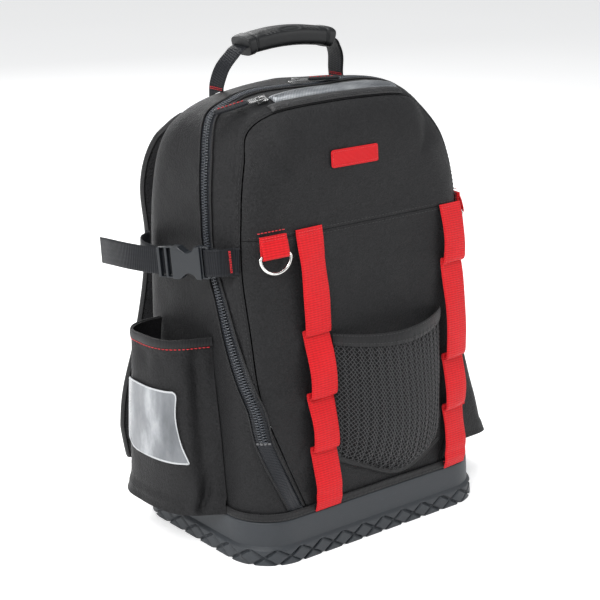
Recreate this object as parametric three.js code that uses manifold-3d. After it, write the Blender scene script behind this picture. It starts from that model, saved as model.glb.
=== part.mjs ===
// Tool backpack: a soft shell on a moulded rubber base, with pockets, webbing, zips and a top handle.
// Millimetres. The origin is the centre of the base's flat underside, +Z is up and the front faces -Y.
import * as THREE from 'three';
import { mergeVertices } from 'three/addons/utils/BufferGeometryUtils.js';
import Module from 'manifold-3d';

const wasm = await Module();
wasm.setup();

// Overall size of the soft body
const bodyHalfWidth = 166;
const crownHeight = 494;
const shoulderHeight = 325;
const archPower = 4;
const bodyDepth = 226;
const frontLean = 0.085;
const frontCornerRadius = 48;
const shoulderCornerRadius = 84;
const crownCornerRadius = 50;
const rearCornerRadius = 50;
const rearShoulderRadius = 84;
const rearCrownRadius = 60;
const rearCornerTurn = 1.3;
const clothWall = 2;
const seamGap = 0.5;
const panelGap = 1.3;
const seat = 0.3;

// Moulded base
const baseHeight = 48;
const baseProud = 3;
const baseWall = 4.5;
const baseFloor = 4;
const treadHeight = 18;
const treadProud = 3.6;
const treadGroove = 3;
const treadPitches = 36;
const bindingHeight = 9;
const bindingWall = 1.5;
const bindingClear = 0.8;

// Seams and zips
const panelSeamHeight = 355;
const zipTapeWidth = 20;
const zipTapeWall = 1.2;
const zipChainProud = 1.6;
const bandReach = 94;
const bandLeft = 82;
const bandWidth = 21;
const bandWall = 2.6;
const flapWidth = 11;
const flapWall = 2;

// Webbing
const strapWall = 1.6;
const redWebWidth = 36;
const sideWebWidth = 29;
const handleWebWidth = 26;
const lowerWebWidth = 25;

// Carrying handle
const handleHalfSpan = 86;
const handleDepthPlace = 62;
const handleLean = 12;
const gripHalfLength = 64;
const gripRise = 48;
const gripWidth = 33;
const gripThickness = 22;
const handleFootClear = 1.6;

// Side pockets
const leftPocketHeight = 195;
const leftPocketOut = 53;
const rightPocketHeight = 176;
const rightPocketOut = 61;
const pocketWall = 2;
const hemHeight = 12;
const hemWall = 1.4;
const windowWall = 0.9;

// Net pocket
const netPastLeftStrap = 22;
const netPastRightStrap = 24;
const netRim = 240;
const netFoot = 64;
const netOut = 34;
const netWall = 1.2;
const netHemHeight = 14;

// Red straps: how far in from the sides their tops are, and how far their feet step in
const leftStrapInset = 89;
const leftStrapStep = 5;
const leftStrapTop = 361;
const rightStrapInset = 36;
const rightStrapStep = 11;
const rightStrapTop = 356;

// Side strap and its side release buckle
const sideStrapHeight = 334;
const buckleStandOff = 16;
const buckleLength = 62;
const buckleHeight = 35;
const buckleThickness = 12;
const buckleBar = 3.6;
const tailStandOff = 53;

// D rings and zip pulls
const ringWidth = 40;
const ringDrop = 19;
const ringWire = 3.4;
const ringLoopWidth = 32;
const ringLoopHeight = 25;
const ringHeight = 348;
const sliderLength = 13;
const sliderWidth = 9;
const sliderDeck = 2.6;
const sliderArmWidth = 3;
const eyeHeight = 2.6;
const eyeLength = 5.2;
const eyeBridge = 1.2;
const pullerLength = 16;
const pullerWidth = 7.6;
const pullerThickness = 1.4;
const pullerHole = 5.8;
const pullTabLength = 40;
const pullTabWidth = 8;
const pullTabThickness = 3.2;

// Shoulder harness
const harnessWidth = 64;
const harnessThickness = 13;
const backPanelThickness = 12;
const backPanelProud = 3;
const yokeThickness = 6;
const yokeBelowCrown = 56;
const padStandOff = 40;

// Plain label on the front
const labelWidth = 66;
const labelHeight = 19;
const labelBelowCrown = 66;
const labelLeftOfMiddle = 8;

const frontFoot = -bodyDepth / 2;
const backPlane = bodyDepth / 2;
const bindingTop = baseHeight + bindingHeight;
const gussetRows = 40;
const V = (x, y, z) => new THREE.Vector3(x, y, z);
const clamp = THREE.MathUtils.clamp;
const lerp = THREE.MathUtils.lerp;

// Smooth curve through the rows of a table: [at, value] with rising at
function smooth(rows, at) {
  const n = rows.length;
  if (at <= rows[0][0]) return rows[0][1];
  if (at >= rows[n - 1][0]) return rows[n - 1][1];
  let i = 0;
  while (at > rows[i + 1][0]) i += 1;
  const slope = (k) => {
    const a = rows[Math.max(k - 1, 0)];
    const b = rows[Math.min(k + 1, n - 1)];
    return (b[1] - a[1]) / (b[0] - a[0]);
  };
  const span = rows[i + 1][0] - rows[i][0];
  const t = (at - rows[i][0]) / span;
  const [h00, h10] = [(1 + 2 * t) * (1 - t) ** 2, t * (1 - t) ** 2];
  const [h01, h11] = [t * t * (3 - 2 * t), t * t * (t - 1)];
  return h00 * rows[i][1] + h10 * span * slope(i) + h01 * rows[i + 1][1] + h11 * span * slope(i + 1);
}

// Height of the leaning front face's line
const frontAt = (z) => frontFoot + frontLean * (z - baseHeight);

// Half of the arch outline from the left foot to the crown, as a dense line with its running length
const arch = (() => {
  const steps = 240;
  const line = [{ x: bodyHalfWidth, z: baseHeight }];
  for (let i = 0; i <= steps; i += 1) {
    const turn = (i / steps) * Math.PI / 2;
    line.push({
      x: bodyHalfWidth * Math.cos(turn) ** (2 / archPower),
      z: shoulderHeight + (crownHeight - shoulderHeight) * Math.sin(turn) ** (2 / archPower),
    });
  }
  line[steps + 1].x = 0;
  const run = [0];
  for (let i = 1; i < line.length; i += 1) {
    run.push(run[i - 1] + Math.hypot(line[i].x - line[i - 1].x, line[i].z - line[i - 1].z));
  }
  return { line, run, half: run[run.length - 1] };
})();
const archHalf = arch.half;
const archWhole = 2 * archHalf;

function archLine(along) {
  const a = clamp(along, 0, archHalf);
  let low = 0;
  let high = arch.run.length - 1;
  while (high - low > 1) {
    const mid = (low + high) >> 1;
    if (arch.run[mid] > a) high = mid; else low = mid;
  }
  const t = (a - arch.run[low]) / (arch.run[high] - arch.run[low] || 1);
  return [lerp(arch.line[low].x, arch.line[high].x, t), lerp(arch.line[low].z, arch.line[high].z, t)];
}

// Point of the arch and its outward normal in the XZ plane, at a length from the left foot
function archAt(along) {
  const folded = along > archHalf ? archWhole - along : along;
  const side = along > archHalf ? 1 : -1;
  const reach = 2;
  const [x, z] = archLine(folded);
  const [xa, za] = archLine(folded - reach);
  const [xb, zb] = archLine(folded + reach);
  const size = Math.hypot(xb - xa, zb - za);
  let nx = (zb - za) / size;
  let nz = -(xb - xa) / size;
  if (folded > archHalf - reach) [nx, nz] = [0, 1];
  return { x: side * x, z, nx: side * nx, nz };
}

// Front corner radius along the arch, as shares of half of the arch
const cornerRows = [
  [0, frontCornerRadius],
  [0.526, frontCornerRadius],
  [0.666, 0.5 * (frontCornerRadius + shoulderCornerRadius)],
  [0.753, shoulderCornerRadius],
  [0.823, 0.5 * (shoulderCornerRadius + crownCornerRadius)],
  [1, crownCornerRadius],
];
const rearRows = [
  [0, rearCornerRadius],
  [0.526, rearCornerRadius],
  [0.7, 0.5 * (rearCornerRadius + rearShoulderRadius)],
  [0.82, rearShoulderRadius],
  [0.92, 0.5 * (rearShoulderRadius + rearCrownRadius)],
  [1, rearCrownRadius],
];
const halfShare = (along) => (along > archHalf ? archWhole - along : along) / archHalf;
const cornerAt = (along) => smooth(cornerRows, halfShare(along));
const rearAt = (along) => smooth(rearRows, halfShare(along));

// The skin of the body. along runs over the arch, and over runs from the back (negative) to the front:
// zero is where the side turns into the front corner. inset moves the point inwards.
function skin(along, over, inset = 0) {
  const a = archAt(along);
  const r = cornerAt(along);
  const turn = clamp(over / r, 0, Math.PI / 2);
  const past = Math.max(over - r * Math.PI / 2, 0);
  let inward = over > 0 ? r - (r - inset) * Math.cos(turn) + past : inset;
  const z = a.z - a.nz * inward;
  let y = over > 0 ? frontAt(z) + r - (r - inset) * Math.sin(turn) : frontAt(z) + r - over;
  const rear = rearAt(along);
  const rearStart = backPlane - rear;
  if (over <= 0 && y > rearStart) {
    const rearTurn = (y - rearStart) / rear;
    inward = rear - (rear - inset) * Math.cos(rearTurn);
    y = rearStart + (rear - inset) * Math.sin(rearTurn);
  }
  return V(a.x - a.nx * inward, y, a.z - a.nz * inward);
}
const rearEdge = (along) => {
  const a = archAt(along);
  const rear = rearAt(along);
  return frontAt(a.z) + cornerAt(along) - (backPlane - rear) - rear * rearCornerTurn;
};

// Outward direction of the skin, by differences
function skinFrame(along, over) {
  const step = 1;
  const at = skin(along, over);
  const tangent = skin(along + step, over).sub(skin(along - step, over)).normalize();
  const across = skin(along, over + step).sub(skin(along, over - step)).normalize();
  const out = V().crossVectors(tangent, across).normalize();
  if (out.dot(skin(along, over, 3).sub(at)) > 0) out.negate();
  return { at, tangent, across: V().crossVectors(out, tangent).normalize(), out };
}

// Front panel's seam over the left half of the arch: [share of the half arch, share of the corner radius]
const seamRows = [
  [0, 2.02], [0.15, 1.29], [0.243, 0.94], [0.37, 0.79], [0.464, 0.69], [0.53, 0.7],
  [0.59, 0.74], [0.686, 0.74], [0.753, 0.62], [0.81, 0.58], [0.9, 0.6], [1, 0.6],
];
const seamOver = (along) => smooth(seamRows, halfShare(along)) * cornerAt(along);

// Main zip's centre line, in the same columns
const zipRows = [
  [0, 1.74], [0.146, 1.0], [0.215, 0.83], [0.257, 0.63], [0.3, 0.45], [0.352, 0.26], [0.417, 0.06],
  [0.473, -0.14], [0.527, -0.25], [0.587, -0.12], [0.636, 0], [0.681, 0.06], [0.73, 0.06],
  [0.787, -0.1], [0.839, -0.32], [0.89, -0.44], [1, -0.5],
];
const zipOver = (along) => smooth(zipRows, halfShare(along)) * cornerAt(along);

// Distance of a point of the front from the arch outline, with the corner radius there
const archSamples = Array.from({ length: 221 }, (_, i) => archAt((i / 220) * archWhole));
function frontY(x, z) {
  let best = Infinity;
  let where = 0;
  archSamples.forEach((p, i) => {
    const far = Math.hypot(p.x - x, p.z - z);
    if (far < best) [best, where] = [far, i];
  });
  const r = cornerAt((where / 220) * archWhole);
  const inside = Math.max(r - best, 0);
  return frontAt(z) + r - Math.sqrt(r * r - inside * inside);
}
function frontPoint(x, z, out = 0) {
  const step = 1.5;
  const at = V(x, frontY(x, z), z);
  const dx = V(2 * step, frontY(x + step, z) - frontY(x - step, z), 0);
  const dz = V(0, frontY(x, z + step) - frontY(x, z - step), 2 * step);
  return at.addScaledVector(V().crossVectors(dx, dz).normalize(), out);
}

// Geometry of a closed body from points and triangles, with its faces turned outwards
function body(points, faces) {
  let volume = 0;
  faces.forEach(([a, b, c]) => {
    volume += points[a].dot(V().crossVectors(points[b], points[c]));
  });
  const turned = volume < 0 ? faces.map(([a, b, c]) => [a, c, b]) : faces;
  const geometry = new THREE.BufferGeometry().setFromPoints(points);
  geometry.setIndex(turned.flat());
  geometry.computeVertexNormals();
  return geometry;
}

// Rings of points, one after the other, closed round and capped at both ends by fans
function loft(rings) {
  const count = rings[0].length;
  const points = rings.flat();
  const faces = [];
  for (let i = 0; i + 1 < rings.length; i += 1) {
    for (let j = 0; j < count; j += 1) {
      const k = (j + 1) % count;
      const [a, b, c, d] = [i * count + j, i * count + k, (i + 1) * count + k, (i + 1) * count + j];
      faces.push([a, b, c], [a, c, d]);
    }
  }
  [0, rings.length - 1].forEach((ring) => {
    const middle = rings[ring].reduce((sum, p) => sum.add(p), V()).divideScalar(count);
    points.push(middle);
    for (let j = 0; j < count; j += 1) {
      const [a, b] = [ring * count + j, ring * count + (j + 1) % count];
      faces.push(ring === 0 ? [points.length - 1, b, a] : [points.length - 1, a, b]);
    }
  });
  return body(points, faces);
}

// Rings that close on themselves both ways, such as a wire ring
function torusLoft(rings) {
  const count = rings[0].length;
  const faces = [];
  rings.forEach((_, i) => {
    for (let j = 0; j < count; j += 1) {
      const [k, n] = [(j + 1) % count, (i + 1) % rings.length];
      faces.push([i * count + j, i * count + k, n * count + k], [i * count + j, n * count + k, n * count + j]);
    }
  });
  return body(rings.flat(), faces);
}

// A wall between an outer and an inner sheet of rows and columns
function wall(rows, columns, outer, inner) {
  const points = [];
  const faces = [];
  const at = (layer, i, j) => (layer * (rows + 1) + i) * (columns + 1) + j;
  [outer, inner].forEach((sheet) => {
    for (let i = 0; i <= rows; i += 1) {
      for (let j = 0; j <= columns; j += 1) points.push(sheet(i / rows, j / columns));
    }
  });
  const quad = (a, b, c, d) => faces.push([a, b, c], [a, c, d]);
  for (let i = 0; i < rows; i += 1) {
    for (let j = 0; j < columns; j += 1) {
      quad(at(0, i, j), at(0, i, j + 1), at(0, i + 1, j + 1), at(0, i + 1, j));
      quad(at(1, i, j), at(1, i + 1, j), at(1, i + 1, j + 1), at(1, i, j + 1));
    }
  }
  for (let j = 0; j < columns; j += 1) {
    quad(at(0, 0, j + 1), at(0, 0, j), at(1, 0, j), at(1, 0, j + 1));
    quad(at(0, rows, j), at(0, rows, j + 1), at(1, rows, j + 1), at(1, rows, j));
  }
  for (let i = 0; i < rows; i += 1) {
    quad(at(0, i, 0), at(0, i + 1, 0), at(1, i + 1, 0), at(1, i, 0));
    quad(at(0, i + 1, columns), at(0, i, columns), at(1, i, columns), at(1, i + 1, columns));
  }
  return body(points, faces);
}

// A wall on the skin between two lines over the arch; low and high give the skin's place and the layers its depth
function skinWall({ from, to, low, high, rows, columns, top, under }) {
  const place = (u, v) => {
    const along = lerp(from, to, u);
    return [along, lerp(low(along), high(along), v)];
  };
  return wall(
    rows,
    columns,
    (u, v) => skin(...place(u, v), -top(u, v)),
    (u, v) => skin(...place(u, v), -under(u, v)),
  );
}

// A flat band along a path. across gives the direction of its width at each point
function band(path, width, thickness, across, endHeight = null) {
  const rings = path.map((p, i) => {
    const before = path[Math.max(i - 1, 0)];
    const after = path[Math.min(i + 1, path.length - 1)];
    const tangent = V().subVectors(after, before).normalize();
    const side = (typeof across === 'function' ? across(i / (path.length - 1)) : across).clone();
    side.addScaledVector(tangent, -side.dot(tangent)).normalize();
    const up = V().crossVectors(tangent, side).normalize();
    const wide = typeof width === 'function' ? width(i / (path.length - 1)) : width;
    return [[-1, -1], [1, -1], [1, 1], [-1, 1]].map(([s, u]) => p.clone()
      .addScaledVector(side, s * wide / 2).addScaledVector(up, u * thickness / 2));
  });
  if (endHeight) [rings[0], rings[rings.length - 1]].flat().forEach((p) => p.setZ(endHeight(p.x, p.y)));
  return loft(rings);
}

const curve = (points, steps) => new THREE.CatmullRomCurve3(points, false, 'centripetal').getSpacedPoints(steps);

// Height of the bag's top over a place behind the zip
function topAt(x, y) {
  const point = (along) => {
    const rear = rearAt(along);
    const start = backPlane - rear;
    const run = y > start ? start + rear * Math.asin((y - start) / rear) : y;
    return skin(along, frontAt(archAt(along).z) + cornerAt(along) - run);
  };
  let [low, high] = [0.5 * archHalf, archHalf];
  for (let i = 0; i < 30; i += 1) {
    const mid = (low + high) / 2;
    if (Math.abs(point(mid).x) > Math.abs(x)) low = mid; else high = mid;
  }
  return point(low).z;
}

// Joins and cuts of closed bodies
function solid(geometry) {
  const bare = geometry.clone();
  bare.deleteAttribute('normal');
  bare.deleteAttribute('uv');
  const merged = mergeVertices(bare, 1e-4);
  return new wasm.Manifold(new wasm.Mesh({
    numProp: 3,
    vertProperties: new Float32Array(merged.attributes.position.array),
    triVerts: new Uint32Array(merged.index.array),
  }));
}
function surface(manifold) {
  const mesh = manifold.getMesh();
  const geometry = new THREE.BufferGeometry();
  geometry.setAttribute('position', new THREE.BufferAttribute(new Float32Array(mesh.vertProperties), 3));
  geometry.setIndex([...mesh.triVerts]);
  geometry.computeVertexNormals();
  return geometry;
}

const backpack = new THREE.Group();
backpack.name = 'tool_backpack';
const finish = (color, roughness, metalness = 0) => ({ color, roughness, metalness });
const finishes = {
  cloth: finish(0x1b1b1d, 0.85),
  rubber: finish(0x34373a, 0.7),
  silver: finish(0x8d9296, 0.35, 0.2),
  red: finish(0xc9141c, 0.6),
  webbing: finish(0x202124, 0.75),
  plastic: finish(0x2b2d30, 0.45),
  nickel: finish(0xb9bbbd, 0.25, 1),
  vinyl: finish(0xc9ced0, 0.15),
  net: finish(0x2a2a2c, 0.8),
  spacer: finish(0x232325, 0.9),
};
function add(name, look, geometry, frame = null) {
  const mesh = new THREE.Mesh(geometry, new THREE.MeshStandardMaterial(finishes[look]));
  mesh.name = name;
  if (frame) frame.decompose(mesh.position, mesh.quaternion, mesh.scale);
  backpack.add(mesh);
}

// Plan outline of the base at a height: a leaning rounded rectangle grown outwards
const planCount = 2 * treadPitches;
function planLoop(z, grow) {
  const front = frontAt(z) - grow;
  const back = backPlane + grow;
  const half = bodyHalfWidth + grow;
  const corners = [
    { x: half, y: back, start: 0, r: rearCornerRadius + grow },
    { x: -half, y: back, start: Math.PI / 2, r: rearCornerRadius + grow },
    { x: -half, y: front, start: Math.PI, r: frontCornerRadius + grow },
    { x: half, y: front, start: 1.5 * Math.PI, r: frontCornerRadius + grow },
  ];
  const shape = new THREE.Path();
  corners.forEach(({ x, y, start, r }, i) => {
    const [cx, cy] = [x - Math.sign(x) * r, y - Math.sign(y) * r];
    if (i === 0) shape.moveTo(cx + r, cy);
    shape.absarc(cx, cy, r, start, start + Math.PI / 2);
  });
  shape.closePath();
  return shape.getSpacedPoints(planCount).slice(0, planCount).map((p) => V(p.x, p.y, z));
}

function base() {
  const rows = 2;
  // Crossing grooves: the low points step from side to side between the rows
  const treadRing = (row) => {
    const z = (row / rows) * treadHeight;
    const proud = planLoop(z, baseProud + treadProud);
    const deep = planLoop(z, baseProud + treadProud - treadGroove);
    return proud.map((p, i) => ((i + row) % 2 === 0 ? deep[i] : p));
  };
  const rings = [];
  for (let row = 0; row <= rows; row += 1) rings.push(treadRing(row));
  rings.push(planLoop(treadHeight + 3, baseProud));
  rings.push(planLoop(baseHeight, baseProud));
  rings.push(planLoop(baseHeight, baseProud - baseWall));
  rings.push(planLoop(baseFloor, baseProud - baseWall));
  add('base_tray', 'rubber', loft(rings));

  const [low, high] = [baseHeight + seat, baseHeight + bindingHeight];
  const [near, far] = [bindingClear, bindingClear + bindingWall];
  add('base_binding', 'webbing', torusLoft([
    planLoop(low, near), planLoop(low, far), planLoop(high, far), planLoop(high, near),
  ]));
}

function shell() {
  const foot = seat;
  const outer = () => 0;
  const inner = () => -clothWall;
  const half = zipTapeWidth / 2;
  const gap = seamGap / 2;
  add('rear_gusset', 'cloth', skinWall({
    from: foot, to: archWhole - foot, rows: gussetRows, columns: 5, top: outer, under: inner,
    low: (a) => rearEdge(a), high: (a) => zipOver(a) - half - gap,
  }));
  const chainFrom = (bindingTop - baseHeight) / archWhole;
  const onChain = (u, v) => Math.abs(v - 0.5) < 0.1 && u > chainFrom && u < 1 - chainFrom;
  add('main_zip', 'webbing', skinWall({
    from: foot, to: archWhole - foot, rows: gussetRows, columns: 4, under: inner,
    low: (a) => zipOver(a) - half + gap,
    high: (a) => zipOver(a) + half - gap,
    top: (u, v) => (onChain(u, v) ? zipChainProud : zipTapeWall - clothWall),
  }));
  add('front_gusset', 'cloth', skinWall({
    from: foot, to: archWhole - foot, rows: gussetRows, columns: 4, top: outer, under: inner,
    low: (a) => zipOver(a) + half + gap, high: (a) => seamOver(a) - gap,
  }));

  const seamPoint = (along) => {
    const p = skin(along, seamOver(along) + panelGap);
    return new THREE.Vector2(p.x, p.z);
  };
  const alongAt = (height) => {
    let [low, high] = [0, 0.8 * archHalf];
    for (let i = 0; i < 40; i += 1) {
      const mid = (low + high) / 2;
      if (seamPoint(mid).y < height) low = mid; else high = mid;
    }
    return low;
  };
  // A four-sided patch of the front between its left seam, its foot and its top edge
  const patch = (left, footEdge, topEdge) => (u, v) => {
    const l = left(v);
    const r = new THREE.Vector2(-l.x, l.y);
    const b = footEdge(u);
    const t = topEdge(u);
    const mix = (low, high) => lerp(low, high, v);
    const point = (axis) => mix(b[axis], t[axis]) + lerp(l[axis], r[axis], u)
      - mix(lerp(footEdge(0)[axis], footEdge(1)[axis], u), lerp(topEdge(0)[axis], topEdge(1)[axis], u));
    return [point('x'), point('y')];
  };
  const level = (z, x) => (u) => new THREE.Vector2(lerp(-x, x, u), z);
  const panel = (name, at, rows, columns) => add(name, 'cloth', wall(
    rows,
    columns,
    (v, u) => frontPoint(...at(u, v)),
    (v, u) => frontPoint(...at(u, v), -clothWall),
  ));
  const [footAlong, lowAlong] = [alongAt(baseHeight + seat), alongAt(panelSeamHeight - gap)];
  const [highAlong, cornerAlong] = [alongAt(panelSeamHeight + gap), 0.79 * archHalf];
  panel('front_panel_lower', patch(
    (v) => seamPoint(lerp(footAlong, lowAlong, v)),
    level(seamPoint(footAlong).y, -seamPoint(footAlong).x),
    level(seamPoint(lowAlong).y, -seamPoint(lowAlong).x),
  ), 10, 10);
  panel('front_panel_upper', patch(
    (v) => seamPoint(lerp(highAlong, cornerAlong, v)),
    level(seamPoint(highAlong).y, -seamPoint(highAlong).x),
    (u) => seamPoint(lerp(cornerAlong, archWhole - cornerAlong, u)),
  ), 9, 10);

  // Crowned silver zip cover and the dark flap in front of it, both lying on the gusset
  const cover = (u, v) => seat + bandWall * (0.45 + 0.55 * Math.sin(Math.PI * v));
  const spread = (along) => Math.sqrt(Math.max(1 - ((along - archHalf) / (bandReach + 4)) ** 2, 0));
  add('top_zip_band', 'silver', skinWall({
    from: archHalf - bandLeft, to: archHalf + bandReach, rows: 16, columns: 3,
    top: cover, under: () => seat,
    low: (a) => seamOver(a) - flapWidth - 2 - bandWidth * spread(a),
    high: (a) => seamOver(a) - flapWidth - 1.5,
  }));
  add('rain_flap', 'cloth', skinWall({
    from: archHalf - bandReach, to: archHalf + bandReach, rows: 16, columns: 1,
    top: () => seat + flapWall, under: () => seat,
    low: (a) => seamOver(a) - flapWidth - 0.5, high: (a) => seamOver(a) - 1,
  }));

  // Padded back panel inside the rear seam
  const outline = [];
  for (let i = 0; i <= gussetRows; i += 1) {
    const along = lerp(foot, archWhole - foot, i / gussetRows);
    const a = archAt(along);
    const rear = rearAt(along);
    const inset = rear - (rear - clothWall) * Math.cos(rearCornerTurn) + seamGap;
    outline.push(new THREE.Vector2(a.x - a.nx * inset, Math.max(a.z - a.nz * inset, bindingTop + seat)));
  }
  const panelShape = new THREE.ExtrudeGeometry(new THREE.Shape(outline), {
    depth: backPanelThickness, bevelEnabled: false, steps: 1,
  });
  panelShape.rotateX(Math.PI / 2);
  panelShape.translate(0, backPlane + backPanelProud, 0);
  add('back_panel', 'spacer', panelShape);
}

// Side pocket in plan: [share of its length from the front, share of its standing out]
const bellowsPlan = [
  [0, 0], [0.05, 0.22], [0.12, 0.55], [0.24, 0.84], [0.42, 0.98], [0.62, 1], [0.82, 0.95],
  [0.95, 0.72], [1, 0.4], [1, 0],
];
const wedgePlan = [
  [0, 0], [0.01, 0.4], [0.03, 0.85], [0.08, 1], [0.3, 1], [0.6, 1], [0.9, 1], [0.97, 0.8], [1, 0.4], [1, 0],
];
const aboveBinding = bindingTop + 2;
const pastBinding = bindingClear + bindingWall;
const pocketSteps = 20;
// Skin of a pocket: u runs up, v runs round from the front edge to the rear edge
function pocketSkin({ side, foot, height, fronts, rears, outs, plan }) {
  return (u, v, out) => {
    const z = foot + u * height;
    const start = bodyHalfWidth + 2 * seat + (z < aboveBinding ? pastBinding : 0);
    const [front, rear] = [lerp(...fronts, u), lerp(...rears, u)];
    const stand = lerp(...outs, u);
    const path = new THREE.CatmullRomCurve3(plan.map(([run, share]) => (
      V(-start - share * stand, lerp(front, rear, run), 0))), false, 'centripetal');
    const at = path.getPointAt(clamp(v, 0, 1));
    const way = path.getTangentAt(clamp(v, 0.002, 0.998));
    const x = Math.min(at.x - way.y * out, -start);
    return V(-side * x, at.y + way.x * out, z);
  };
}
const leftPocket = {
  side: -1, foot: baseHeight + seat, height: leftPocketHeight,
  fronts: [-60, -34], rears: [86, 62], outs: [leftPocketOut - 2, leftPocketOut], plan: bellowsPlan,
};
const rightPocket = {
  side: 1, foot: baseHeight + seat, height: rightPocketHeight,
  fronts: [-66, -58], rears: [58, 50], outs: [rightPocketOut, 8], plan: wedgePlan,
};
function pocket(name, form) {
  const at = pocketSkin(form);
  add(name, 'cloth', wall(3, pocketSteps, (u, v) => at(u, v, 0), (u, v) => at(u, v, -pocketWall)));
  const top = 1 + 1 / form.height;
  const hem = (u) => lerp(top - hemHeight / form.height, top, u);
  add(`${name}_hem`, 'webbing', wall(
    1, pocketSteps, (u, v) => at(hem(u), v, seat + hemWall), (u, v) => at(hem(u), v, seat),
  ));
  const rim = [];
  for (let i = 0; i <= pocketSteps; i += 1) {
    const p = at(pocketWall / form.height, i / pocketSteps, -pocketWall - 2 * seat);
    const inner = bodyHalfWidth + pastBinding + 2 * seat;
    rim.push(new THREE.Vector2(form.side * Math.max(form.side * p.x, inner), p.y));
  }
  const floor = new THREE.ExtrudeGeometry(new THREE.Shape(rim), { depth: pocketWall, bevelEnabled: false });
  floor.translate(0, 0, form.foot);
  add(`${name}_floor`, 'cloth', floor);
}
function pockets() {
  pocket('left_pocket', leftPocket);
  pocket('right_pocket', rightPocket);
  const at = pocketSkin(leftPocket);
  const [low, high] = [0.3, 0.71];
  const [front, rear] = [5, 14];
  const place = (u, v, out) => at(lerp(low, high, u), lerp(front, rear, v) / pocketSteps, out);
  add('pocket_window', 'vinyl', wall(
    2, rear - front, (u, v) => place(u, v, 2 * seat + windowWall), (u, v) => place(u, v, 2 * seat),
  ));
}

// Red daisy chain: webbing tacked to the front at given heights and bowed between the tacks
function redStrap(name, { top, foot, xTop, xFoot, tacks, bows }) {
  const stops = [top, ...tacks, foot];
  const steps = 6;
  const path = [];
  const sides = [];
  const clear = seat + strapWall / 2;
  for (let i = 0; i + 1 < stops.length; i += 1) {
    for (let k = i === 0 ? 0 : 1; k <= steps; k += 1) {
      const z = lerp(stops[i], stops[i + 1], k / steps);
      const x = lerp(xTop, xFoot, (top - z) / (top - foot));
      const over = pastBinding * clamp((aboveBinding + 8 - z) / 8, 0, 1);
      const out = clear + over + bows[i] * Math.sin(Math.PI * k / steps) ** 1.6;
      path.push(frontPoint(x, z, out));
      sides.push(frontPoint(x + 2, z).sub(frontPoint(x - 2, z)).normalize());
    }
  }
  add(name, 'red', band(path, redWebWidth, strapWall, (t) => sides[Math.round(t * (sides.length - 1))]));
}
const leftStrapX = leftStrapInset - bodyHalfWidth;
const rightStrapX = bodyHalfWidth - rightStrapInset;

// Net pocket between the red straps. u runs across and v runs down
const netSag = 8;
const netStep = 9;
const netRimOut = 26;
const netShape = [[0, netRimOut / netOut], [0.3, 0.93], [0.6, 1], [0.85, 0.72], [0.95, 0.36], [1, 0]];
const netFootRows = [[0, 36], [0.25, 18], [0.55, 0], [0.8, 6], [1, 22]];
function netPoint(u, v) {
  const topZ = netRim - netSag * Math.sin(Math.PI * u);
  const footZ = netFoot + smooth(netFootRows, u);
  const z = lerp(topZ, footZ, v);
  const left = leftStrapX + netPastLeftStrap;
  const right = rightStrapX - netPastRightStrap - netStep * (netRim - z) / (netRim - netFoot);
  const crown = Math.sin(Math.PI * clamp(u, 0, 1)) ** 0.7;
  const out = seat + netWall + netOut * crown * smooth(netShape, clamp(v, 0, 1));
  return frontPoint(lerp(left, right, u), z, out);
}
function netOffset(u, v, out) {
  const step = 0.01;
  const [ua, ub] = [Math.max(u - step, 0), Math.min(u + step, 1)];
  const du = netPoint(ub, v).sub(netPoint(ua, v));
  const dv = netPoint(u, v - step).sub(netPoint(u, v + step));
  const p = netPoint(u, v);
  return p.addScaledVector(V().crossVectors(du, dv).normalize(), out);
}
function netPocket() {
  add('net_pocket', 'net', wall(
    9, 12, (v, u) => netOffset(u, v, 0), (v, u) => netOffset(u, v, -netWall),
  ));
  const tall = netHemHeight / (netRim - netFoot);
  const place = (v, u, out) => netOffset(u, lerp(-0.012, tall, v), out);
  add('net_pocket_hem', 'webbing', wall(
    1, 12, (v, u) => place(v, u, seat + 1.8), (v, u) => place(v, u, seat),
  ));
}

// A frame's matrix from its place and its three directions
function frameOf(at, x, y, z) {
  return new THREE.Matrix4().makeBasis(x, y, z).setPosition(at);
}
const box = (x, y, z, at) => new THREE.BoxGeometry(x, y, z).translate(...at);
function plate(outline, holes, thickness) {
  const points = outline.map(([x, y]) => new THREE.Vector2(x, y));
  const shape = new THREE.Shape(THREE.ShapeUtils.isClockWise(points) ? points.reverse() : points);
  holes.forEach((hole) => shape.holes.push(new THREE.Path(hole.map(([x, y]) => new THREE.Vector2(x, y)))));
  const geometry = new THREE.ExtrudeGeometry(shape, { depth: thickness, bevelEnabled: false });
  return geometry.translate(0, 0, -thickness / 2);
}
const slot = (x0, x1, half) => [[x0, -half], [x0, half], [x1, half], [x1, -half]];

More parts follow.
